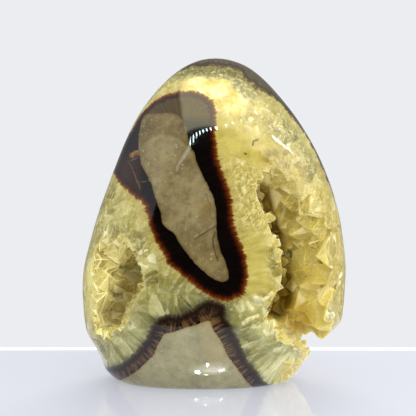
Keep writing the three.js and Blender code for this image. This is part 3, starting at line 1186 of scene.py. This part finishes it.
# %% [markdown]
# ## The polished stone
#
# One material covers the whole polish, because the zones run into each other: calcite, the feathery
# edge of needles, the nearly black band, then limestone. Two or three materials on separate faces
# would leave a stair of triangles along each edge. Each zone gets a cell of its own here, and the last
# one lays them over each other by their distance from the band's edge.

# %% What the polish knows at each point
def along_needles(recipe, root, rim, drift):
    """A place for noise that hardly changes along a needle, which starts at the root on the edge."""
    return recipe.vectors("ADD", root, recipe.add("ShaderNodeCombineXYZ", {"Z": recipe.times(rim, drift)}))


class Polish:
    """Values that several zones share: the mesh's own layers, and noises."""

    def __init__(self, recipe):
        self.place = recipe.place()
        self.wander = recipe.noise(self.place, 9)
        self.small_wander = recipe.noise(self.place, 1.6, detail=3)
        self.rim = recipe.layer("rim")
        self.window = recipe.layer("window")
        self.below = recipe.layer("below")
        self.lower = recipe.maths("COMPARE", recipe.layer("cell"), 1.0, 0.5)
        self.crown = recipe.maths("COMPARE", recipe.layer("cell"), 2.0, 0.5)
        self.slide = recipe.layer("slide", output="Vector")
        self.across, self.upright = recipe.split(self.slide, "X"), recipe.split(self.slide, "Y")
        root = recipe.layer("root", output="Vector")
        self.needle_place = along_needles(recipe, root, self.rim, 0.22)
        self.streak_place = along_needles(recipe, root, self.rim, 0.07)
        self.tufts = recipe.noise(self.needle_place, 2.6)
        self.scallops = recipe.maths("SUBTRACT", recipe.noise(self.place, 3.2, detail=4, rough=0.6), 0.5)

    def edge(self, recipe):
        """Distance from the band's edge, which needles, tufts and scallops make uneven."""
        needles = recipe.noise(self.needle_place, 0.7, detail=3, rough=0.6)
        edge = recipe.sway(self.rim, self.wander, 1.2)
        edge = recipe.sway(edge, needles, 2.6)
        edge = recipe.sway(edge, self.tufts, 1.8)
        return recipe.plus(edge, recipe.times(self.scallops, self.crown), 7)


polish, polish_shader = filled(polished_finish)
at = Polish(polish)
band_edge = at.edge(polish)
print("nodes for the values of the polish:", len(polish.tree.nodes))

# %% Calcite that grew outward from the bands, in fibres, blades and chunks
COLUMN = 3.4  # width of a bundle of fibres, in mm
BLADE = 2.6

fibres = polish.noise(at.needle_place, 1.3, detail=4, rough=0.6)
columns = polish.noise(at.needle_place, COLUMN)
grown = polish.plus(polish.times(columns, 0.45), fibres, 0.55)
calcite_shaken = polish.shaken(at.place, 4, 3)
chunk_number, chunk_slope = grains(polish, calcite_shaken, 4)
# The chunks' slope goes into their tint as painted shade across each chunk.
chunks = polish.plus(polish.times(chunk_number, 0.7), chunk_slope, 0.16)


def beside_bands(recipe, colour):
    """Fibres all along the bands, and below the window blades at the left and chunks at the right."""
    fibre_tint = recipe.ramp(grown, (0.36, 148, 130, 60), (0.5, 178, 161, 88), (0.64, 204, 192, 124))
    colour = recipe.blend(recipe.between(at.rim, 6.5, 1.5, 0, 0.7), colour, fibre_tint)
    number, slope = grains(recipe, at.needle_place, BLADE)
    # The blades' slope goes into their tint as painted shade across each blade.
    blades = recipe.plus(recipe.plus(recipe.times(grown, 0.5), slope, 0.12), number, 0.5)
    green_tint = recipe.ramp(
        blades, (0.22, 54, 56, 27), (0.42, 97, 99, 54), (0.58, 140, 141, 89), (0.8, 206, 205, 158)
    )
    lines = recipe.times(recipe.joints(at.needle_place, BLADE, 0.1), 0.25)
    green_tint = recipe.blend(lines, green_tint, (206, 208, 172))
    chunk_tint = recipe.ramp(
        recipe.plus(chunks, grown, 0.5),
        (0.3, 88, 90, 44), (0.62, 152, 150, 90), (0.85, 190, 187, 126), (1, 218, 214, 168),
    )
    frost = recipe.noise(at.needle_place, 1.1, detail=4, rough=0.7)
    frost = recipe.times(frost, recipe.between(at.tufts, 0.4, 0.6))
    chunk_tint = recipe.blend(recipe.between(frost, 0.48, 0.62, 0, 0.8), chunk_tint, (222, 220, 180))
    chunky = recipe.times(at.below, recipe.between(at.across, -2, 6, 0, 0.85))
    bladed = recipe.times(at.below, recipe.between(at.across, 7, -3, 0.3, 0.9))
    return recipe.blend(bladed, recipe.blend(chunky, colour, chunk_tint), green_tint)


minerals = polish.group(calcite_colour, {"Place": at.place})
calcite = beside_bands(polish, minerals["Colour"])
print("nodes with the calcite beside the bands:", len(polish.tree.nodes))

# %% Patches in which the calcite differs
GOLDEN_PATCH = [(25, 89), (32, 84)]


def calcite_patches(recipe, colour):
    place, shaken = at.place, calcite_shaken
    gold = recipe.plus(recipe.noise(shaken, 1.6, detail=5, rough=0.7, warp=0.8), chunks, 0.4)
    rime = recipe.noise(shaken, 1.5, detail=5, rough=0.7, warp=0.6)
    calm, glow_noise = recipe.noise(place, 4, detail=3), recipe.noise(place, 3.8, detail=5, rough=0.6)
    # Each one: the line it lies along on the slide, its width, its share, its noise and its tints.
    for corners, width, share, noise, *tints in (
        (
            [(15, 53), (16.5, 41)], 9, 0.85, grown,
            (0.36, 178, 162, 82), (0.5, 194, 179, 96), (0.64, 209, 196, 121),
        ),
        (
            [(13, 79), (16, 67)], 8.5, 0.75, rime,
            (0.34, 142, 124, 58), (0.5, 190, 174, 100), (0.62, 228, 218, 162),
        ),
        ([(5, 99), (19, 93)], 11, 0.85, calm, (0.35, 178, 160, 74), (0.65, 203, 188, 106)),
        # Under the crown: a painted glow, pale cream over the calcite.
        (
            [(-6, 117), (8, 114)], 9, 0.88, glow_noise,
            (0.35, 200, 178, 84), (0.48, 228, 208, 120), (0.64, 242, 237, 186),
        ),
        (GOLDEN_PATCH, 8, 0.68, gold, (0.52, 112, 92, 28), (0.64, 152, 132, 52), (0.78, 186, 170, 90)),
        (
            [(20, 1), (28, 8)], 7, 0.85, grown,
            (0.36, 128, 124, 70), (0.48, 192, 188, 128), (0.6, 226, 222, 172),
        ),
    ):
        mask = recipe.times(hairlines(recipe, at.slide, corners, width), share)
        colour = recipe.blend(mask, colour, recipe.ramp(noise, *tints))
    return colour


calcite = calcite_patches(polish, calcite)
print("nodes with the patches:", len(polish.tree.nodes))

# %% Olive under the crown, bright glints, two pits, and smoke over the lower band
GLINTS = [
    [(16.5, 34.3), (20, 32.7), (23.3, 35.5)],
    [(13.5, 31.6), (15.4, 29.6)],
    [(12, 23.5), (14, 25), (17.5, 26.5)],
    [(20.4, 20.6), (21.4, 18.8)],
]
PITS = [[(17.6, 97.3), (15.9, 96.7), (15.6, 95.1)], [(12.4, 91.8), (12.9, 91.5)]]


def calcite_marks(recipe, colour):
    olive = recipe.ramp(
        recipe.noise(at.place, 1.4, detail=5, rough=0.65),
        (0.36, 54, 52, 26), (0.48, 94, 90, 46), (0.58, 142, 136, 82), (0.68, 210, 204, 156),
    )
    under_crown = recipe.sway(recipe.plus(at.rim, at.scallops, 9), at.wander, 7)
    under_crown = recipe.times(recipe.between(under_crown, 8, 4), at.crown)
    under_crown = recipe.times(under_crown, recipe.between(at.across, 10, 24, 0.85, 0.2))
    colour = recipe.blend(under_crown, colour, olive)
    glints = recipe.largest(0.0, *(hairlines(recipe, at.slide, corners, 1.1) for corners in GLINTS))
    glints = recipe.times(glints, recipe.between(at.small_wander, 0.35, 0.6, 0.3, 0.85))
    colour = recipe.blend(glints, colour, (238, 230, 178))
    pits = recipe.largest(0.0, *(hairlines(recipe, at.slide, corners, 0.55) for corners in PITS))
    colour = recipe.blend(recipe.times(pits, 0.8), colour, (84, 62, 14))
    smoke = recipe.times(recipe.between(band_edge, 3.4, 0, 0, 0.75), recipe.between(columns, 0.4, 0.6))
    return recipe.blend(recipe.times(smoke, at.lower), colour, (50, 54, 46))


calcite = calcite_marks(polish, calcite)
print("nodes with the marks:", len(polish.tree.nodes))

# %% The dark bands
wobble = polish.noise(at.place, 1.5, detail=3, output="Color")
line_place = polish.vectors("MULTIPLY_ADD", wobble, (0.9, 0.9, 0), at.slide)
line_place = polish.vectors("SUBTRACT", line_place, (0.45, 0.45, 0))
streaks = polish.noise(at.streak_place, 0.8, detail=3, rough=0.7)


def brown_band(recipe):
    """The band of the lower window: brown, in blocks, with needles that show as streaks."""
    blocks = recipe.noise(at.place, 3.4, detail=3, rough=0.6)
    brown = recipe.ramp(blocks, (0.36, 12, 9, 8), (0.46, 34, 22, 15), (0.54, 60, 40, 25), (0.66, 90, 62, 38))
    block_tone = recipe.split(recipe.cells(at.streak_place, 3.2), "X")
    brown = recipe.blend(recipe.between(block_tone, 0.5, 0.75, 0, 0.6), brown, (16, 12, 12))
    brown = recipe.blend(recipe.between(streaks, 0.47, 0.36, 0, 0.6), brown, (14, 10, 11))
    inner = recipe.between(at.window, 5.5, 0.4, 0.12, 0.75)
    return recipe.blend(recipe.times(inner, recipe.between(streaks, 0.46, 0.62)), brown, (120, 91, 56))


def black_band(recipe):
    """The other bands: nearly black, but brown at the top, in the crown and in the lobe at the left."""
    black = recipe.ramp(streaks, (0.3, 4, 3, 3), (0.7, 16, 9, 6))
    top_brown = recipe.ramp(streaks, (0.3, 62, 49, 24), (0.7, 86, 70, 38))
    black = recipe.blend(recipe.between(recipe.split(at.place, "Z"), 103, 108), black, top_brown)
    crown_brown = recipe.ramp(streaks, (0.3, 68, 60, 45), (0.7, 92, 83, 62))
    black = recipe.blend(at.crown, black, crown_brown)
    lobe = recipe.times(recipe.between(at.across, -28, -31), recipe.between(at.upright, 94, 88))
    black = recipe.blend(recipe.times(lobe, 0.8), black, (50, 31, 25))
    lines = [
        ([(-34.5, 88.5), (-32.7, 85.3), (-31.2, 81.2), (-30, 78.8), (-29.8, 73)], 0.36),
        ([(-31, 80.3), (-26, 80.6)], 0.3),
        ([(-34.5, 88.5), (-30.3, 90.2)], 0.3),
    ]
    seams = recipe.largest(*(hairlines(recipe, line_place, corners, width) for corners, width in lines))
    seams = recipe.times(seams, recipe.between(at.small_wander, 0.35, 0.6, 0.15, 0.6))
    black = recipe.blend(seams, black, (118, 94, 62))
    flake = recipe.times(hairlines(recipe, line_place, [(-33, 91), (-31, 92)], 1.5), 0.9)
    return recipe.blend(flake, black, recipe.ramp(at.small_wander, (0.35, 104, 66, 34), (0.65, 158, 122, 72)))


band = polish.blend(at.lower, black_band(polish), brown_band(polish))
print("nodes with the bands:", len(polish.tree.nodes))

# %% The fringe of needles: red-brown, then orange where it ends in the calcite
def needle_fringe(recipe):
    inputs = {"Value": band_edge, "From Min": -3.6, "From Max": 0.7}
    reach = recipe.add("ShaderNodeMapRange", inputs, interpolation_type="LINEAR")
    tint = recipe.ramp(
        reach, (0.0, 10, 5, 4), (0.4, 34, 11, 6), (0.66, 74, 28, 9), (0.85, 116, 66, 21), (1.0, 168, 140, 66)
    )
    lower_tint = recipe.ramp(
        reach, (0.0, 16, 10, 8), (0.6, 38, 26, 18), (0.85, 74, 64, 42), (1.0, 112, 110, 70)
    )
    crown_tint = recipe.ramp(
        reach, (0.0, 66, 54, 40), (0.5, 60, 46, 30), (0.85, 96, 82, 46), (1.0, 126, 114, 66)
    )
    return recipe.blend(at.crown, recipe.blend(at.lower, tint, lower_tint), crown_tint)


fringe = needle_fringe(polish)
print("nodes with the fringe:", len(polish.tree.nodes))

# %% Limestone in the central window: warm, darker above an arch and towards the bottom, with rust and cracks
clouds = polish.noise(at.place, 11, detail=4, rough=0.6)
mottle = polish.noise(at.place, 2.6, detail=4, rough=0.65)
CRACK = [(1, 62.8), (-7.5, 57.5)]
FLAW = [(-3.4, 75.5), (-2, 72.4), (-1.4, 70.3), (-2, 68.5), (-0.5, 65.4)]
SPLIT = [(0.6, 60.6), (-0.4, 57), (0, 53.4), (0.6, 51.3), (1.6, 48.5)]


def warm_limestone(recipe):
    warm = recipe.ramp(clouds, (0.3, 106, 92, 58), (0.5, 134, 120, 82), (0.7, 152, 138, 97))
    shaded = recipe.blend(1.0, warm, (222, 212, 190), how="MULTIPLY")
    arch = recipe.maths("POWER", recipe.maths("ABSOLUTE", recipe.maths("ADD", at.across, 20)), 2)
    arch = recipe.plus(recipe.plus(at.upright, arch, 0.055), clouds, 2)
    warm = recipe.blend(recipe.between(arch, 99.4, 101), warm, shaded)
    warm = recipe.blend(recipe.between(at.upright, 64, 52, 0, 0.75), warm, shaded)
    warm = recipe.blend(recipe.between(mottle, 0.5, 0.68, 0, 0.42), warm, (156, 141, 101))
    warm = recipe.blend(recipe.between(mottle, 0.5, 0.32, 0, 0.48), warm, (92, 77, 44))
    rust = hairlines(recipe, line_place, [(-3.6, 67.5), (-2.2, 69.5)], 3.4)
    rust = recipe.times(rust, recipe.between(mottle, 0.35, 0.6, 0.1, 0.6))
    warm = recipe.blend(rust, warm, (120, 86, 20))
    # The first crack is a fold: its dark line is partly painted shade, and a painted highlight runs along its
    # lit side.
    lit_side = hairlines(recipe, line_place, [(1, 63.6), (-7.5, 58.3)], 0.7)
    lit_side = recipe.times(lit_side, recipe.between(at.small_wander, 0.4, 0.6, 0, 0.5))
    warm = recipe.blend(lit_side, warm, (156, 144, 108))
    cracks = recipe.largest(
        hairlines(recipe, line_place, CRACK, 0.4),
        recipe.times(hairlines(recipe, line_place, FLAW, 0.3), 0.5),
        hairlines(recipe, line_place, SPLIT, 0.5),
    )
    cracks = recipe.times(cracks, recipe.between(at.small_wander, 0.3, 0.5, 0.3, 1))
    return recipe.blend(recipe.times(cracks, 0.7), warm, (66, 50, 28))


warm_stone = warm_limestone(polish)
print("nodes with the central limestone:", len(polish.tree.nodes))

# %% Limestone in the lower window, and the grain, dust and lip of all limestone
window_edge = polish.sway(polish.sway(at.window, at.small_wander, 0.9), at.wander, 1.2)


def limestone(recipe, warm):
    greenish = recipe.ramp(clouds, (0.3, 136, 130, 94), (0.5, 156, 151, 113), (0.7, 172, 165, 128))
    greenish = recipe.blend(recipe.between(mottle, 0.52, 0.72, 0, 0.5), greenish, (176, 168, 132))
    greenish = recipe.blend(recipe.between(mottle, 0.48, 0.28, 0, 0.5), greenish, (118, 112, 78))
    tawny = recipe.times(hairlines(recipe, line_place, [(-2, 21), (1, 9)], 5), 0.4)
    greenish = recipe.blend(tawny, greenish, (170, 148, 104))
    stone_tint = recipe.blend(at.lower, warm, greenish)
    grit = recipe.noise(at.place, 0.7, detail=4, rough=0.7)
    stone_tint = recipe.blend(recipe.between(grit, 0.58, 0.8, 0, 0.45), stone_tint, (172, 160, 126))
    stone_tint = recipe.blend(recipe.between(grit, 0.42, 0.22, 0, 0.5), stone_tint, (76, 65, 40))
    specks = recipe.between(recipe.cells(at.place, 2.4, output="Distance"), 0.16, 0.08)
    specks = recipe.times(specks, recipe.between(recipe.noise(at.place, 16), 0.42, 0.6, 0.15, 1))
    stone_tint = recipe.blend(recipe.times(specks, 0.7), stone_tint, (206, 198, 172))
    lip_tint = recipe.blend(at.lower, (82, 62, 38), (150, 118, 72))
    return recipe.blend(recipe.between(window_edge, -1.3, 0, 0, 0.55), stone_tint, lip_tint)


stone_tint = limestone(polish, warm_stone)
print("nodes with all the limestone:", len(polish.tree.nodes))

# %% Lay the zones over each other
colour = polish.blend(polish.between(band_edge, 0.9, 0.2), calcite, fringe)
colour = polish.blend(polish.between(band_edge, -1.4, -3.4), colour, band)
colour = polish.blend(polish.between(window_edge, 0.15, -0.15), colour, stone_tint)
# Round the mouths of the hollows the polish is painted pale: a painted highlight, as of light caught on the
# broken edge.
golden = hairlines(polish, at.slide, GOLDEN_PATCH, 8)
brink_highlight = polish.maths("POWER", polish.layer("brink"), 2)
brink_highlight = polish.times(brink_highlight, polish.between(golden, 0, 1, 0.6, 0.15))
colour = polish.blend(brink_highlight, colour, (226, 218, 170))

# Only the calcite lets light in, by subsurface scattering, and only it glows a little by emission, a painted
# glow.
clear = polish.between(band_edge, -0.6, 1.2)
polish_settings = {
    "Base Color": colour,
    "Subsurface Weight": clear,
    "Subsurface Radius": (1.0, 0.8, 0.35),
    "Subsurface Scale": 0.006,
    "Emission Color": polish.blend(clear, (0, 0, 0, 1), colour),
    "Emission Strength": 0.15,
    "Roughness": 0.35,
    "Coat Weight": 1,
    "Coat Roughness": 0.04,
    "Specular IOR Level": 0,
    "Normal": polish.bump(polish.times(minerals["Slope"], clear), 1.2),
}
polish.fill(polish_shader, polish_settings)
print("nodes in the whole polish:", len(polish.tree.nodes))

# %% [markdown]
# ## The crystals' material
#
# On a crystal each flat face catches the light its own way, and the deeper it lies, the less light
# reaches it. Real glass-like crystals with bending rays would take a renderer long. Here each face has
# a tint by chance, from the layer written above, over calcite's own colour: painted light and shade,
# with the palest faces as painted flashes. Deep faces and the clefts between the rows are painted dark
# and deep yellow, painted shade, as light that has passed through much calcite comes out. The crystals
# also glow a little by emission, a painted glow.

# %% Tint of the crystals
# Tints for each face's number by chance: painted light and shade, with painted flashes at the top.
FACET_SHADING_TINTS = [
    (0.05, 158, 141, 50), (0.45, 196, 178, 76), (0.8, 216, 201, 104), (0.89, 218, 206, 130),
    (0.93, 246, 241, 200),
]
GREYER_SHADING_TINTS = [(0.1, 138, 128, 70), (0.5, 192, 181, 114), (0.84, 224, 215, 154), (0.9, 248, 243, 212)]


def crystal_tint(recipe, place, own_colour):
    facet = recipe.layer("facet")
    height, side = recipe.split(place, "Z"), recipe.split(place, "X")
    # The share of the painted facet shading, most low down and least at the left.
    golden = recipe.between(height, 76, 42, 0.25, 0.55)
    golden = recipe.times(golden, recipe.between(side, -24, -8, 0.25, 1))
    colour = recipe.blend(golden, own_colour, recipe.ramp(facet, *FACET_SHADING_TINTS))
    colour = recipe.blend(recipe.between(side, 0, -20, 0, 0.6), colour, recipe.ramp(facet, *GREYER_SHADING_TINTS))
    grit = recipe.noise(place, 1.0, detail=5, rough=0.72, warp=0.8)
    colour = recipe.blend(recipe.between(grit, 0.5, 0.64, 0, 0.4), colour, (236, 227, 172))
    colour = recipe.blend(recipe.between(grit, 0.46, 0.32, 0, 0.4), colour, (132, 112, 40))
    lower_rim = recipe.times(recipe.between(side, 34, 42), recipe.between(height, 62, 50, 0, 0.5))
    colour = recipe.blend(lower_rim, colour, (196, 177, 90))
    # The palest facets get a further painted highlight.
    facet_highlight = recipe.times(recipe.between(facet, 0.87, 0.9), recipe.between(side, 5, 20, 0.4, 0.6))
    colour = recipe.blend(facet_highlight, colour, (240, 231, 176))
    broken = recipe.times(recipe.between(side, 20, 26), recipe.between(height, 24, 18, 0, 0.85))
    colour = recipe.blend(broken, colour, (172, 159, 104))
    # Where the crystals meet the polish they are painted pale, a painted highlight of the broken edge.
    return recipe.blend(recipe.times(recipe.layer("brink"), 0.3), colour, (216, 208, 160))


crystals, crystal_shader = filled(crystal_finish)
crystal_place = crystals.place()
crystal_minerals = crystals.group(calcite_colour, {"Place": crystal_place})
crystal_colour = crystal_tint(crystals, crystal_place, crystal_minerals["Colour"])
print("nodes for the crystals' tint:", len(crystals.tree.nodes))

# %% Painted shade in the depths and clefts between the crystals, their painted glow, and their gloss
CLEFT = [(18.5, 76), (21.4, 67), (24.4, 57), (26.4, 48), (28, 41.6), (28, 33.5), (25, 29)]
LEFT_CLEFT = [(-31.5, 46), (-34, 37), (-41, 27)]
NOTCH = [(21, 31), (25.5, 29)]
AMBER = [(26, 33), (34, 26)]

crystal_slide = crystals.layer("slide", output="Vector")
# Deep faces are painted darker and deeper yellow: painted shade, as less light reaches them.
deep = crystals.between(crystals.layer("depth"), 8, 24)
crystal_colour = crystals.blend(crystals.times(deep, 0.45), crystal_colour, (176, 150, 52))
amber = crystals.times(hairlines(crystals, crystal_slide, AMBER, 8), 0.6)
crystal_colour = crystals.blend(amber, crystal_colour, (160, 128, 26))
# The clefts and the notch are painted dark: painted shade in the deep recesses there.
cleft_shade = crystals.largest(
    hairlines(crystals, crystal_slide, CLEFT, 5.5), hairlines(crystals, crystal_slide, NOTCH, 5)
)
left_cleft_shade = crystals.times(hairlines(crystals, crystal_slide, LEFT_CLEFT, 7), 0.5)
cleft_shade = crystals.largest(crystals.times(cleft_shade, 0.85), left_cleft_shade)
crystal_colour = crystals.blend(cleft_shade, crystal_colour, (102, 78, 2))
# The crystals glow a little by emission, a painted glow, and painted shade takes it away in the depths and
# the clefts.
dim = crystals.largest(crystals.times(deep, 0.5), cleft_shade)
ripple = crystals.plus(crystals.noise(crystal_place, 1.2, detail=3), crystal_minerals["Slope"], 0.6)
crystal_settings = {
    "Base Color": crystal_colour,
    "Emission Color": crystals.blend(dim, crystal_colour, (0, 0, 0, 1)),
    "Emission Strength": 0.44,
    "Subsurface Weight": 1,
    "Subsurface Radius": (1.0, 0.92, 0.5),
    "Subsurface Scale": 0.005,
    "Roughness": 0.3,
    "Specular IOR Level": 0.24,
    "Normal": crystals.bump(ripple, 0.5),
}
crystals.fill(crystal_shader, crystal_settings)
print("nodes in the crystals' material:", len(crystals.tree.nodes))

# %% Put both materials on the stone
stone.data.materials.clear()
stone.data.materials.append(polished_finish)
stone.data.materials.append(crystal_finish)
stone.data.polygons.foreach_set("material_index", material_numbers)
print("faces of polish and of crystal:", np.bincount(material_numbers))

# %% [markdown]
# ## Shelf and light
#
# The nodule stands in a white cabinet that is open in front. That matters more than any lamp, because
# the polish mirrors it: a bright panel in the ceiling, pale walls, and a dark room before it, which
# is why the bands look black. The cabinet could be built as walls, but a World that gives each
# direction its own brightness does the same with no noise. It is told apart by kind of ray: the camera
# sees a plain pale backdrop, the polish sees the cabinet, and everything else gets its soft light.

# %% The shelf
SHELF_EDGE = 58  # how far behind the middle of the stone the shelf ends
SHELF_FRONT = -100
SHELF_HALF = 900  # half its width
SHELF_FACES = [(0, 2, 3, 1), (4, 5, 7, 6), (0, 1, 5, 4), (1, 3, 7, 5), (3, 2, 6, 7), (2, 0, 4, 6)]


def board(name, finish_name, front, back, low, high, settings):
    """A board across the whole picture, with a material of its own."""
    corners = [(x, y, z) for z in (low, high) for y in (front, back) for x in (-SHELF_HALF, SHELF_HALF)]
    made = mesh_from(name, corners, SHELF_FACES)
    finish = bpy.data.materials.new(finish_name)
    recipe, shader = filled(finish)
    recipe.fill(shader, settings)
    made.data.materials.append(finish)
    return made


gloss = {
    "Base Color": shade(140, 142, 152),
    "Emission Color": shade(212, 213, 222),
    "Emission Strength": 0.74,
    "Specular IOR Level": 0,
    "Roughness": 0.5,
    "Coat Weight": 1,
    "Coat Roughness": 0.05,
}
shelf = board("shelf", "pale gloss", SHELF_FRONT, SHELF_EDGE, -8, 0, gloss)
edge_round = shelf.modifiers.new("edge", "BEVEL")
edge_round.width = 1.2 * MM
edge_round.segments = 3

# The cut edge at the back of the shelf catches the light as a thin white line, painted here as a strip that
# glows by emission.
lit = {"Base Color": shade(240, 240, 240), "Emission Color": (1, 1, 1, 1), "Emission Strength": 0.5}
shelf_line = board("shelf_line", "lit edge", SHELF_EDGE - 3, SHELF_EDGE + 0.3, -1, 0.3, lit)
print("stage:", shelf.name, "and", shelf_line.name)


# %% The cabinet that the polish mirrors
def fill_world():
    world = bpy.data.worlds.new("cabinet")
    scene.world = world
    world.use_nodes = True
    recipe = Shading(world.node_tree)
    background = world.node_tree.nodes["Background"]
    toward = recipe.add("ShaderNodeTexCoord", output="Generated")
    across, ahead, high = [recipe.split(toward, axis) for axis in "XYZ"]
    front = recipe.times(ahead, -1)

    def above(value, softness=0.03):
        """A mask of the directions in which a value is above zero."""
        return recipe.between(value, -softness, softness)

    def gap(value, factor, other):
        """The value times the factor, less the other."""
        return recipe.maths("SUBTRACT", recipe.times(value, factor), other)

    # The panel ends at the left and in front; the open front is framed by walls and ceiling.
    panel = recipe.times(above(recipe.plus(across, high, 0.61)), above(recipe.plus(ahead, high, 1.24)))
    shown_panel = recipe.times(panel, recipe.between(recipe.plus(ahead, high, 0.02), 0.08, -0.04))
    panel = recipe.times(panel, above(gap(high, 0.9, ahead)))
    opening = recipe.times(above(recipe.plus(across, front, 0.9)), above(gap(front, 0.78, high)))
    opening = recipe.times(opening, above(gap(front, 2.2, across)))
    back = recipe.between(ahead, 0.1, 0.8)
    walls = recipe.blend(back, (0.75, 0.76, 0.78, 1), (0.26, 0.27, 0.28, 1))
    mirrored = recipe.blend(opening, walls, (0.006, 0.006, 0.007, 1))
    mirrored = recipe.blend(shown_panel, mirrored, (4.2, 3.9, 2.8, 1))
    lighting = recipe.blend(opening, (0.78, 0.79, 0.81, 1), (0.32, 0.32, 0.32, 1))
    lighting = recipe.blend(panel, lighting, (1.4, 1.4, 1.38, 1))
    path = recipe.tree.nodes.new("ShaderNodeLightPath").outputs
    light = recipe.blend(path["Is Glossy Ray"], lighting, mirrored)
    light = recipe.blend(path["Is Camera Ray"], light, (236, 237, 240))
    recipe.fill(background, {"Color": light})


fill_world()
scene.view_settings.view_transform = "Standard"
print("nodes in the cabinet:", len(scene.world.node_tree.nodes))


# %% [markdown]
# ## Lamps
#
# The sharp highlights on the front are mirror images of small bright things above and before it, such
# as a strip of lights along the cabinet's front edge. Spots painted on the stone would be quicker, but
# they would stay where they are when the viewpoint moves. So each one is a lamp of its own, placed
# where the polish shows it in the right spot. Two large soft lamps, which the polish doesn't show,
# bring out the form.

# %% Lamps
UPPER_BAND = Vector((0, -10, 80))  # the part of the stone that the bars and rows face


def lamp(name, place, aim, size, watts, colour=(1, 1, 1), height=None, sharp=True):
    """A rectangular lamp, sized in millimetres, whose mirror image shows only where it is sharp."""
    data = bpy.data.lights.new(name, "AREA")
    data.shape = "RECTANGLE"
    data.size = size * MM
    data.size_y = (height or size) * MM
    data.energy = watts
    data.color = colour
    made = bpy.data.objects.new(name, data)
    scene.collection.objects.link(made)
    made.location = Vector(place) * MM
    made.rotation_euler = (Vector(aim) - Vector(place)).to_track_quat("-Z", "Y").to_euler()
    made.visible_camera = False
    made.visible_glossy = sharp
    return made


def lamp_bar(name, start, end, width, watts):
    """A thin bright bar between two points, facing the stone."""
    start, end = Vector(start), Vector(end)
    bar = lamp(name, (start + end) / 2, UPPER_BAND, (end - start).length, watts, height=width)
    away = (start + end) / 2 - UPPER_BAND
    along = (end - start).normalized()
    side = away.normalized().cross(along).normalized()
    bar.rotation_euler = Matrix((along, side, along.cross(side))).transposed().to_euler()
    return bar


def lamp_row(name, start, end, count, size, watts):
    """A row of small lamps, such as the strip along a cabinet's front edge."""
    for number, share in enumerate(np.linspace(0, 1, count)):
        place = np.array(start) * (1 - share) + np.array(end) * share
        stroke = lamp(f"{name}_{number}", place, UPPER_BAND, size, watts, (0.7, 0.97, 1), size * 2)
        stroke.rotation_euler.rotate_axis("Z", 0.6)


lamp("behind", (60, 420, 300), (0, 0, 80), 320, 4, (1, 0.97, 0.9), sharp=False)
lamp("front", (160, -520, 260), (0, 0, 60), 300, 1.6, sharp=False)
lamp_row("strip_left", (-161, -439, 400), (-25, -410, 400), 7, 5, 0.012)
lamp_row("strip_right", (1, -403, 400), (81, -347, 400), 3, 6, 0.025)
lamp_bar("strip_side", (346, -232, 400), (505, -114, 400), 8, 0.16)
lamp("corner", (216, -183, 400), UPPER_BAND, 10, 0.03)
lamp_bar("streak", (-162, -451, 400), (-306, -540, 400), 20, 0.03)
print("lamps above the shelf:", len(bpy.data.lights))

# %% [markdown]
# ## Lamps as the gloss of the shelf shows them
#
# The bright spots low on the front are lamps of the ceiling, seen in the stone by way of the shelf. A
# renderer finds light that comes by way of two mirrors only by luck, and holds it down. So the shelf's
# mirror image of each lamp is a lamp of its own below the shelf, and light linking tells the shelf not
# to stand in its way.

# %% Lamps below the shelf
clear_way = bpy.data.collections.new("lets lamps through")
clear_way.objects.link(shelf)
clear_way.collection_objects[0].light_linking.link_state = "EXCLUDE"
# Each one: its place, its width and its length from front to back, its watts and its colour.
MIRRORED_LAMPS = [
    ((-18, -178), 13, 38, 0.06, (0.85, 1, 1)),
    ((56, -183), 21, 32, 0.06, (0.85, 1, 1)),
    ((6, -257), 9, 34, 0.03, (0.85, 1, 1)),
    ((3, -140), 10, 14, 0.008, (1, 1, 0.5)),
    ((16, -200), 130, 130, 0.08, (1, 1, 0.95)),
    ((20, -200), 95, 85, 0.045, (1, 1, 0.95)),
    ((26, -195), 60, 50, 0.02, (1, 1, 1)),
]
for number, ((x, y), width, length, watts, colour) in enumerate(MIRRORED_LAMPS):
    mirrored = lamp(f"mirrored_{number}", (x, y, -400), (0, -30, 5), width, watts, colour, length)
    mirrored.data.shape = "ELLIPSE"
    mirrored.visible_diffuse = False
    mirrored.light_linking.blocker_collection = clear_way
print("lamps in all:", len(bpy.data.lights))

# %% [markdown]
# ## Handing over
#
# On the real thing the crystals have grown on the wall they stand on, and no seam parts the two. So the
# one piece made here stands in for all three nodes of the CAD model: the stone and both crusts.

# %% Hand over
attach(stone, "root")
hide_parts("nodule", "right_hollow_crystals", "left_hollow_crystals")
bpy.context.view_layer.update()
